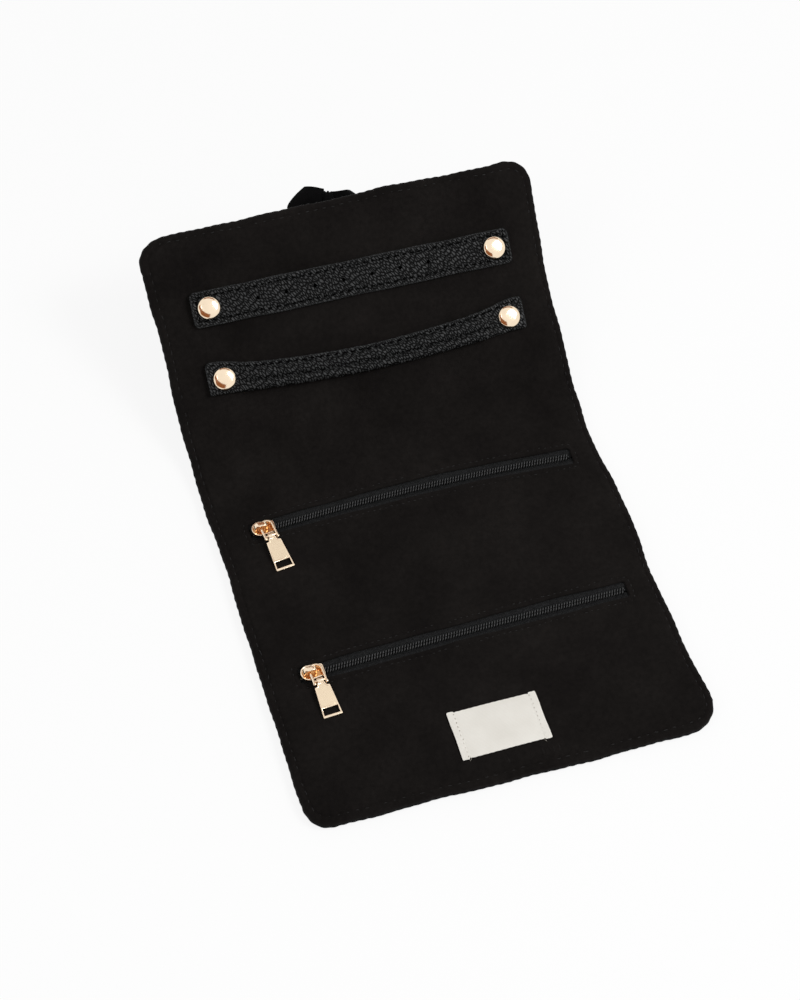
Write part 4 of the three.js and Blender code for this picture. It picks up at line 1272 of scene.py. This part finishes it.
def mark_rim_highlight(obj, depth, height):
    """Stores how near each point on the leather's top side is to its folded edge, where a highlight is painted
    lighter into the colour.
    """
    rim = RIM_HIGHLIGHT_SHARE * bell(np.clip(depth, 0, None), RIM_HIGHLIGHT_DEPTH) * (height > RIM_HIGHLIGHT_LOW)
    obj.data.attributes.new("rim", "FLOAT", "POINT").data.foreach_set("value", rim.astype(np.float32))


def holder_blend(obj, row):
    """Bakes a holder's placement into its mesh; the places beside its left snap are worked out but nothing
    bends.
    """
    start, end = (spot(ROOT_X + shift, row, ROOT_HEIGHT) for shift in ROOT_BEND)
    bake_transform(obj)


def holder_seam(body, row, centres, runs, heights):
    """Sews a holder with thick dark stitches."""
    shape = stitches(centres, runs, heights, HOLDER_STITCH, HOLDER_THREAD)
    seam = cloth_object(f"{body}_stitches", shape, DARK_THREAD)
    holder_blend(seam, row)
    dress(seam)


def on_strip(flat, height):
    """Lays flat points on the earring strip's slightly wavy surface."""
    x, s = flat.T
    return np.column_stack([flat, height + waves(x, (0.12, 13, 0.5), (0.08, 6.1, s / 9))])


def earring_strip():
    """Makes the earring strip, a leather band pierced by a row of small holes, and its seam."""
    low, high = EARRING_ROW - STRIP_HALF, EARRING_ROW + STRIP_HALF
    loop, out = round_box(-HOLDER_HALF, HOLDER_HALF, low, high, STRIP_CORNER, STRIP_STEP)
    drift = out * waves(measured(loop)[0], (0.12, 8.3, 0), (0.08, 3.7, 0))[:, None]
    seam = drawn_in(loop, out, STRIP_CORNER, STRIP_SEAM) + drift
    seam_marks, total = measured(seam)
    places, pitch = even_places(total, HOLDER_PITCH)
    pit = PIT_DEPTH * stitch_pit(seam_marks / pitch)
    rows = []
    for depth, height in STRIP_EDGE:
        press = pit * bell(depth - STRIP_SEAM, STRIP_PIT_WIDTH) * (height > STRIP_FRONT)
        rows.append(on_strip(drawn_in(loop, out, STRIP_CORNER, depth) + drift, height - press))
    holes = []
    for x in HOLE_PLACES:
        circles = [arc(x, EARRING_ROW, radius, 0, 360, HOLE_SIDES)[:-1] for radius, _ in HOLE_PROFILE]
        holes.append([on_strip(circle, height) for circle, (_, height) in zip(circles, HOLE_PROFILE)])
    parts = [(np.vstack(rows), bands(len(rows), len(loop)))]
    parts += [(np.vstack(hole), bands(len(hole), HOLE_SIDES)) for hole in holes]
    for row, level in ((-1, 0), (0, -1)):
        field, faces = fill(rows[row][:, :2], [hole[level][:, :2] for hole in holes], STRIP_GRID)
        parts.append((on_strip(field, STRIP_EDGE[row][1]), faces if level == 0 else flipped(faces)))
    return merge(parts), along_loop(seam, places)


shape, (centres, runs) = earring_strip()
strip = cloth_object("earring_strip", shape, LEATHER)
x, s, height = shape[0].T
# Painted highlight along the strip's top folded edges
mark_rim_highlight(strip, np.minimum(HOLDER_HALF - np.abs(x), STRIP_HALF - np.abs(s - EARRING_ROW)), height)
weld(strip)
holder_blend(strip, EARRING_ROW)
dress(strip, nodes=("earring_strip_root", "earring_strip_face", "earring_strip_backing"))
holder_seam("earring_strip", EARRING_ROW, centres, runs, on_strip(centres, STRIP_SEAM_HEIGHT)[:, 2])

# The ring bar: flat tabs at both ends, a stitched band and two stuffed lobes between them
TAB_TOP = 8.4
TAB_LOW = -6.5
TAB_CORNER = 2.4
TAB_MIDDLE = 2.66
BAND_TOP = 5.75
BAND_LOW = 3.7
UPPER_LOBE = (1.0, 2.5, 3.9, 6.7)
LOWER_LOBE = (-3.55, 2.1, 4.3, 7.6)
LOBE_LOW = -5.5
LOBE_TURN = ((-5.62, 4.9), (-5.75, 4.2), (-5.62, 3.3), (-5.2, 2.4), (-4.5, 1.8))
FRONT_POINTS = 37
BAR_X = (0.0, 15.0, 30.0, 45.0, 52.0, 59.0, 63.0, 67.0, 74.5, 90.0)
BAR_TOP = (1.4, 1.8, 2.7, 3.9, 4.8, 6.0, 7.2, 8.2, 8.5, 8.5)
BAR_LOW = (-10.2, -10.0, -9.4, -8.5, -8.0, -7.3, -6.9, -6.5, -6.4, -6.4)
BAR_EASE = 3.0
BAR_FULL = (62.5, 10.0)
BAR_SEAM = 1.7
BAR_SEAM_HEIGHT = 3.34
BAR_SEAM_START = -HOLDER_HALF + 4.0
BAR_PIT_WIDTH = 0.45
BAR_FRONT = 2.8
BAR_END_STEPS = np.array([0.0, 0.25, 0.6, 1.1, 1.7, 2.4])
BAR_END = 3.2
BAR_STATIONS = 300
BAR_GRAIN = ((0.08, 1 / 0.9, 0), (0.05, 1 / 2.3, 1))
SLACK_HEIGHT = 0.3
SLACK_FRONT = 2.4
END_SEAM = 1.9
END_PITCH = 3.0
FLAT_H = 3.7
BACK_H = 1.62


def level_row(start, end, count, height):
    """Lists points of a section that lie at one height."""
    return [(y, height) for y in np.linspace(start, end, count)]


def lobe(y, middle, half, low, high):
    """Gives the height of a rounded pad over y."""
    return low + (high - low) * np.sqrt(np.clip(1 - ((y - middle) / half) ** 2, 0, 1))


def roll_section():
    """Lists the bar's section where it is stuffed: stitched band, two lobes with a groove between, back."""
    front = np.linspace(BAND_LOW - 0.65, LOBE_LOW, FRONT_POINTS)
    return np.array([
        (BAND_TOP, BACK_H + 0.5), (BAND_TOP + 0.08, 2.6), (BAND_TOP, 3.38), (BAND_TOP - 0.4, 3.78),
        *level_row(BAND_TOP - 1.0, BAND_LOW, 5, FLAT_H),
        (BAND_LOW - 0.25, FLAT_H + 0.1), (BAND_LOW - 0.45, FLAT_H + 0.4),
        *zip(front, np.maximum(lobe(front, *UPPER_LOBE), lobe(front, *LOWER_LOBE))),
        *LOBE_TURN,
        *level_row(-3.9, 1.2, 8, BACK_H),
        *level_row(1.8, BAND_TOP - 0.5, 5, BACK_H),
    ])


def flat_section():
    """Lists the bar's section where it is pressed flat under a snap, point for point."""
    return np.array([
        (TAB_TOP, BACK_H + 0.5), (TAB_TOP + 0.05, 2.6), (TAB_TOP - 0.08, 3.25), (TAB_TOP - 0.45, 3.6),
        *level_row(TAB_TOP - 1.0, TAB_TOP - 4.4, 5, FLAT_H),
        (TAB_TOP - 4.8, FLAT_H - 0.04), (TAB_TOP - 5.1, FLAT_H - 0.06),
        *level_row(TAB_TOP - 5.6, TAB_LOW + 0.5, FRONT_POINTS, FLAT_H + 0.1),
        *arc(TAB_LOW + 1.1, TAB_MIDDLE, 1.15, 72, 216, 4, 1.05),
        *level_row(TAB_LOW + 1.6, TAB_TOP - 5.2, 8, BACK_H),
        *level_row(TAB_TOP - 4.6, TAB_TOP - 0.5, 5, BACK_H),
    ])


def bar_edge(x, heights):
    """Gives the smoothed edge of the ring bar at x, measured from its snaps."""
    offsets = np.linspace(-BAR_EASE, BAR_EASE, 9)
    return np.mean([np.interp(np.abs(x + offset), BAR_X, heights) for offset in offsets], axis=0)


def bar_section(x, flat_one, round_one):
    """Gives the bar's section at x: flat at the tabs, round between them, pressed in along the seam."""
    full = smooth_step((BAR_FULL[0] - abs(x)) / BAR_FULL[1])
    y, height = (flat_one * (1 - full) + round_one * full).T
    low, top = bar_edge(x, BAR_LOW), bar_edge(x, BAR_TOP)
    y = low + (y - y.min()) * (top - low) / (y.max() - y.min())
    end_gap = HOLDER_HALF - abs(x)
    if end_gap < TAB_CORNER:
        inset = TAB_CORNER - math.sqrt(max(0.0, TAB_CORNER**2 - (TAB_CORNER - end_gap) ** 2))
        y = np.clip(y, None, TAB_TOP - inset)
        height = TAB_MIDDLE + (height - TAB_MIDDLE) * min(1.0, 0.45 + end_gap * 0.5)
    around = np.arctan2(y - 1.0, SNAP_X - abs(x))
    partly = 4 * full * (1 - full) * (height > SLACK_FRONT)
    slack = SLACK_HEIGHT * partly * np.sin(10 * around + 2 * np.sign(x))
    pit = PIT_DEPTH * stitch_pit((x - BAR_SEAM_START) / HOLDER_PITCH + 0.5)
    press = pit * bell(y - top + BAR_SEAM, BAR_PIT_WIDTH) * (height > BAR_FRONT)
    rows = BAR_ROW + y + waves(x, *BAR_GRAIN) * full
    return np.column_stack([np.full_like(y, x), rows, height + slack - press])


def ring_bar():
    """Makes the ring bar as one skin from tab to tab."""
    sections = flat_section(), roll_section()
    inner = np.linspace(BAR_END - HOLDER_HALF, HOLDER_HALF - BAR_END, BAR_STATIONS)
    xs = np.concatenate([BAR_END_STEPS - HOLDER_HALF, inner, HOLDER_HALF - BAR_END_STEPS[::-1]])
    return np.vstack([bar_section(x, *sections) for x in xs]), capped(len(xs), len(sections[0]))


def bar_top(x):
    """Gives the top edge of the ring bar's band at x."""
    return BAR_ROW + bar_edge(x, BAR_TOP)


shape = ring_bar()
bar = cloth_object("ring_bar", shape, BAR_LEATHER_LIT)
x, s, height = shape[0].T
# Painted highlight along the bar's top folded edges
mark_rim_highlight(bar, np.minimum(HOLDER_HALF - np.abs(x), bar_top(x) - s), height)
holder_blend(bar, BAR_ROW)
dress(bar, nodes=("ring_bar_root", "ring_bar_sleeve", "ring_bar_core"))

seam_x = np.arange(BAR_SEAM_START, HOLDER_HALF - 3.0, HOLDER_PITCH)
centres, ahead = (np.column_stack([x, bar_top(x) - BAR_SEAM]) for x in (seam_x, seam_x + 0.5))
runs = (ahead - centres) / np.hypot(*(ahead - centres).T)[:, None]
end_rows = BAR_ROW + np.arange(TAB_LOW + 2.2, TAB_TOP - 2.4, END_PITCH)
for x in (END_SEAM - HOLDER_HALF, HOLDER_HALF - END_SEAM):
    centres = np.vstack([centres, [(x, s) for s in end_rows]])
    runs = np.vstack([runs, [(0.0, 1.0)] * len(end_rows)])
holder_seam("ring_bar", BAR_ROW, centres, runs, np.full(len(centres), BAR_SEAM_HEIGHT))

# Press snaps
CAP_PROFILE = (
    (0.95, 3.4), (0.95, 3.9), (4.6, 3.9), (4.95, 3.93), (5.15, 4.06), (5.17, 4.2), (5.08, 4.4), (4.94, 4.62),
    (4.72, 4.83), (4.42, 5.05), (4.0, 5.26), (3.4, 5.46), (2.6, 5.6), (1.7, 5.67), (0.8, 5.69), (0.02, 5.7),
)
SOCKET_PROFILE = (
    (2.2, 1.1), (3.7, 1.1), (3.95, 1.25), (4.0, 1.8), (3.95, 2.3), (3.7, 2.4), (2.2, 2.4), (2.2, 1.1),
)
STUD_PROFILE = (
    (0.02, -1.6), (3.5, -1.6), (3.5, -1.1), (1.0, -1.1), (1.0, 0.3), (3.4, 0.3), (3.6, 0.5), (3.4, 0.8),
    (1.5, 0.82), (1.78, 1.1), (1.9, 1.4), (1.78, 1.75), (1.5, 2.0), (0.02, 2.02),
)
SNAPS = {
    "earring_left": (-SNAP_X, EARRING_ROW, "flap"),
    "earring_right": (SNAP_X, EARRING_ROW, "earring_strip"),
    "ring_bar_left": (-SNAP_X, BAR_ROW, "flap"),
    "ring_bar_right": (SNAP_X, BAR_ROW, "ring_bar"),
}
for name, (x, s, body) in SNAPS.items():
    for part, profile, owner in (
        ("cap", CAP_PROFILE, body), ("socket", SOCKET_PROFILE, body), ("stud", STUD_PROFILE, "flap"),
    ):
        snap = cloth_object(f"{name}_snap_{part}", lathe(profile, x, s), GOLD)
        dress(snap, owner, (f"{name}_{part}",))

# Label on the bottom panel, left bare
LABEL_HALF = 19.8
LABEL_LOW = -116.1
LABEL_HIGH = -94.1
LABEL_SEAM = 2.75
LABEL_HEM = 3.3
LABEL_EAR = 0.4
LABEL_PITCH = 2.0
LABEL_RISE = 0.85
LABEL_THICKNESS = 0.3
LABEL_ROWS = 89
LABEL_END_STEPS = np.arange(0, 4.2, 0.22)
LABEL_END = 4.3
LABEL_STITCH = 1.0
LABEL_STITCH_RADIUS = 0.17
LABEL_STRAY = 0.13
LOOSE_RADIUS = 0.07
LOOSE_SIDES = 5
LOOSE_ENDS = ((3.6 - LABEL_HALF, -0.5), (LABEL_HALF - 3.5, 0.4))


def label_sheet():
    """Makes the label: a thin satin strip with folded ends, drawn down along the stitches near them."""
    xs = np.concatenate([
        -LABEL_HALF + LABEL_END_STEPS, np.linspace(LABEL_END - LABEL_HALF, LABEL_HALF - LABEL_END, 60),
        LABEL_HALF - LABEL_END_STEPS[::-1],
    ])
    from_end = LABEL_HALF - np.abs(xs)
    ear = LABEL_EAR * smooth_step((LABEL_HEM - from_end) / 0.4) * smooth_step(0.3 + from_end / 0.6)
    ear = ear - 0.28 * bell(from_end - LABEL_HEM, 0.3)
    fray = waves(xs, (0.05, 1 / 2.3, 0), (0.04, 1 / 5.3, 1))
    hem = 0.2 * smooth_step((LABEL_HEM - from_end) / 0.5)
    held = bell(from_end - LABEL_SEAM, 0.6)
    rows = np.linspace(LABEL_LOW, LABEL_HIGH, LABEL_ROWS)
    middle, half = (LABEL_LOW + LABEL_HIGH) / 2, (LABEL_HIGH - LABEL_LOW) / 2
    points = []
    for s in rows:
        v = (s - middle) / half
        belly = LABEL_RISE + waves(xs, (0.1, 7, s / 9), (0.06, 16, s / 3.1))
        dent = 0.17 * held * (0.6 + 0.4 * math.cos(2 * math.pi * (s - LABEL_LOW - 1) / LABEL_PITCH))
        edge_down = 0.12 * math.exp(-(1 - abs(v)) * half / 1.2)
        height = belly + hem - dent - edge_down + swell(np.column_stack([xs, np.full_like(xs, s)]))
        side_wave = 0.08 * math.sin(s / 2.7) * np.sign(xs) * np.exp(-from_end / 2)
        points.append(np.column_stack([xs + side_wave, s + v * ear + abs(v) ** 9 * fray, height]))
    return np.vstack(points), bands(LABEL_ROWS, len(xs), closed=False)


def label_threads():
    """Makes the label's two rows of stitches and a loose thread end at either side."""
    rows = np.arange(LABEL_LOW + 1.0, LABEL_HIGH - 0.5, LABEL_PITCH)
    centres = np.array([(side * (LABEL_HALF - LABEL_SEAM), s) for side in (-1, 1) for s in rows])
    centres += rng.normal(0, LABEL_STRAY, centres.shape)
    runs = [(0.0, 1.0)] * len(centres)
    threads = [stitches(centres, runs, LABEL_RISE + swell(centres), LABEL_STITCH, LABEL_STITCH_RADIUS)]
    along = np.linspace(-0.6, 1.3, 7)
    for x, lean in LOOSE_ENDS:
        route = np.column_stack([x + lean * along**2, LABEL_LOW - along, LABEL_RISE - 0.1 + 0.1 * along])
        threads.append(tube(route, LOOSE_RADIUS, LOOSE_SIDES))
    return merge(threads)


label = cloth_object("label_bare", label_sheet(), LABEL)
thicken(label, LABEL_THICKNESS)
dress(label, "bottom", ("label",))
dress(cloth_object("label_stitches", label_threads(), LABEL_THREAD), "bottom")

# Bow on the outside of the flap
BOW_X = -1.7
BOW_S = SPINE_END + 86.5
BOW_LEVEL = -9.9
BOW_SLANT = math.radians(12)
BOW_START = 2.0
BOW_THICK = 2.7
RIBBON_THICKNESS = 0.7
LOOP_GRID = (29, 56)
TAIL_GRID = (48, 17)
TAIL_LENGTH = 34.0
TAIL_NOTCH = 5.0
TAIL_HALF = 6.5
TAIL_SPLAY = math.radians(16)
TAIL_X = 3.4
TAIL_S = BOW_S - 8.6
TAIL_LEVEL = -7.35
KNOT_GRID = (15, 40)
KNOT_HALF = (2.4, 7.4, 3.2)
KNOT_LEVEL = -9.85
KNOT_FLAT = 0.7
LOOP_FLAT = (0.019, 0.036)
TAIL_FLAT = (0.013, 0.034)


def bow_turned(x, s):
    """Turns a place on the bow about its knot, because the bow sits aslant, left side up."""
    x, s = turned(x, s, -BOW_SLANT)
    return BOW_X + x, BOW_S + s


def bow_loop(side, tall, reach, cut, power):
    """Makes one loop: a ribbon that leaves the knot and turns back at an end drawn in above and below."""
    rows, steps = LOOP_GRID
    v = np.repeat(np.linspace(-1, 1, rows), steps)
    angle = np.tile(math.pi * np.linspace(-1, 1, steps), rows)
    tip = reach - np.where(v > 0, cut, 0.55 * cut) * np.abs(v) ** power
    out = 0.5 + 0.5 * np.cos(angle)
    layer = np.sin(angle)
    length = BOW_START + (tip - BOW_START) * out**0.8
    thick = BOW_THICK * np.abs(np.sin(math.pi * np.minimum(1.0, out * 1.02))) ** 0.6 + 0.25
    fold = 0.5 * np.sin(4.6 * v + 1.1 * layer) * (1 - smooth_step(out * 1.25))
    rise = tall * v * (0.96 + 0.04 * smooth_step(out * 2.2))
    level = BOW_LEVEL - thick * layer * (1 - 0.12 * v * v) + fold
    faces = bands(rows, steps, closed=False)
    return np.column_stack([*bow_turned(side * length, rise), level]), flipped(faces) if side > 0 else faces


def bow_tail(side):
    """Makes one tail: a ribbon hanging down the flap, with a notched end and a gentle wave."""
    steps, rows = TAIL_GRID
    u = np.repeat(np.linspace(0, 1, steps), rows)
    v = np.tile(np.linspace(-1, 1, rows), steps)
    along = u * (TAIL_LENGTH - TAIL_NOTCH * (1 - np.abs(v)))
    across = side * TAIL_X + v * TAIL_HALF * (0.62 + 0.38 * smooth_step(u * 3))
    x, s = turned(across, -along, TAIL_SPLAY * side)
    level = TAIL_LEVEL - 0.35 * np.sin(u * 6 + side) * u - 0.3 * np.sin(3.2 * v + side) * (1 - 0.6 * u)
    return np.column_stack([BOW_X + x, TAIL_S + s, level]), bands(steps, rows, closed=False)


def bow_knot():
    """Makes the knot: a short band wrapped round the middle, creased along its length."""
    rows, steps = KNOT_GRID
    wide, tall, thick = KNOT_HALF
    v = np.repeat(np.linspace(-1, 1, rows), steps)
    angle = np.tile(2 * math.pi * np.arange(steps) / steps, rows)
    crease = 1 + 0.05 * np.sin(3 * math.pi * v + np.cos(angle)) - 0.22 * v**6
    rise = tall * flattened(np.cos(angle), KNOT_FLAT) * crease
    level = KNOT_LEVEL + thick * flattened(np.sin(angle), KNOT_FLAT) * crease
    return np.column_stack([*bow_turned(wide * v, rise), level]), flipped(capped(rows, steps))


BOW_SHEETS = {
    "bow_loop_left": (bow_loop(-1, 9.0, 18.0, 7.8, 1.4), "bow_left_loop", LOOP_FLAT, "gathered"),
    "bow_loop_right": (bow_loop(1, 7.7, 16.0, 6.0, 2.4), "bow_right_loop", LOOP_FLAT, "gathered"),
    "bow_tail_left": (bow_tail(-1), "bow_left_tail", TAIL_FLAT, "hung"),
    "bow_tail_right": (bow_tail(1), "bow_right_tail", TAIL_FLAT, "hung"),
}
for name, (shape, node, flat_size, held) in BOW_SHEETS.items():
    ribbon = cloth_object(name, shape, RIBBON_SHADED)
    thicken(ribbon, RIBBON_THICKNESS)
    dress(ribbon, "flap", (node,))
knot = cloth_object("bow_knot_band", bow_knot(), RIBBON_SHADED)
dress(knot, "flap", ("bow_knot",))

# Carried-over solids keep their shape and get a finish
for node in ("bottom_magnet", "flap_magnet"):
    for material_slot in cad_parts[node].material_slots:
        material_slot.material = STEEL

# Floor, backdrop, light and camera
FLOOR_SIZE = 6.0
FLOOR_GLOW = 0.87
BACKDROP_SOFT = 0.5
BACKDROP_SEEN = 1.0
WHITE = (1, 1, 1)
TARGET = Vector((0, 0.01, 0.02))
CARD_TONE = (0.28, 0.11, 0.045)


def square(width, height):
    """Makes a flat four-cornered shape."""
    signs = ((-1, -1), (1, -1), (1, 1), (-1, 1))
    return [(x * width / 2, y * height / 2, 0) for x, y in signs], [(0, 1, 2, 3)]


def aim(obj, position, axis):
    """Puts an object in its place, with one axis towards the roll."""
    obj.location = position
    obj.rotation_euler = (TARGET - Vector(position)).to_track_quat(axis, "Y").to_euler()


def floor():
    """Makes the white floor, which keeps a soft shadow."""
    shader = Shader("floor_white", (0.9, 0.9, 0.9), 1.0, Specular_IOR_Level=0.0)
    share = shader.math(shader.seen(), FLOOR_GLOW)
    shader.surface(shader.node("MixShader", {0: share, 1: shader.main.outputs[0], 2: shader.glow(WHITE)}))
    make_object("floor", square(FLOOR_SIZE, FLOOR_SIZE), shader.material, smooth=False)


def backdrop():
    """Makes a world that lights the roll softly and looks white."""
    world = bpy.data.worlds.new("studio")
    bpy.context.scene.world = world
    world.use_nodes = True
    sky = Nodes(world.node_tree)
    sky.tree.nodes.clear()
    strengths = (BACKDROP_SOFT, BACKDROP_SEEN)
    soft, white = (sky.node("Background", {"Color": WHITE, "Strength": strength}) for strength in strengths)
    output = sky.tree.nodes.new("ShaderNodeOutputWorld")
    sky.plug(output.inputs["Surface"], sky.node("MixShader", {0: sky.seen(), 1: soft, 2: white}))


def softbox(name, position, size, power):
    """Adds a soft square lamp that faces the roll."""
    light = bpy.data.lights.new(name, "AREA")
    light.energy = power
    light.size = size
    aim(add_object(name, light), position, "-Z")


def dark_card(name, position, width, height):
    """Adds a brown card that only polished surfaces reflect, as studio flags do."""
    card = Shader(name, (0, 0, 0), 1.0, Specular_IOR_Level=0.0)
    card.surface(card.glow(CARD_TONE))
    obj = make_object(name, square(width, height), card.material, smooth=False)
    aim(obj, position, "Z")
    for kind in ("camera", "diffuse", "shadow", "transmission"):
        setattr(obj, f"visible_{kind}", False)


floor()
backdrop()
softbox("key_light", (0.68, -0.4, 1.1), 0.5, 8.5)
softbox("fill_light", (-0.9, -0.3, 1.0), 0.7, 3.0)
dark_card("card_front", (-0.4, -0.55, 0.38), 0.95, 0.72)
dark_card("card_left", (-0.66, -0.16, 0.64), 0.8, 0.44)
dark_card("card_back", (0.3, 0.72, 0.96), 1.3, 0.5)

CAMERA_PLACE = Vector((-252.66, -531.77, 936.02)) * MM
CAMERA_ELEVATION = math.radians(57.234)
CAMERA_AZIMUTH = math.radians(24.393)
CAMERA_ROLL = math.radians(7.712)
CAMERA_LENS = 90.0
SENSOR = 36.0

forward = Vector((
    math.sin(CAMERA_AZIMUTH) * math.cos(CAMERA_ELEVATION),
    math.cos(CAMERA_AZIMUTH) * math.cos(CAMERA_ELEVATION),
    -math.sin(CAMERA_ELEVATION),
))
level = forward.cross(Vector((0, 0, 1))).normalized()
upright = level.cross(forward)
right = level * math.cos(CAMERA_ROLL) + upright * math.sin(CAMERA_ROLL)
up = upright * math.cos(CAMERA_ROLL) - level * math.sin(CAMERA_ROLL)
lens = bpy.data.cameras.new("camera")
lens.sensor_fit = "VERTICAL"
lens.sensor_height = SENSOR
lens.lens = CAMERA_LENS
lens.clip_start = 0.01
lens.clip_end = 20
camera = add_object("camera", lens)
camera.matrix_world = Matrix.Translation(CAMERA_PLACE) @ Matrix((right, up, -forward)).transposed().to_4x4()
bpy.context.scene.camera = camera
bpy.context.scene.view_settings.view_transform = "Standard"
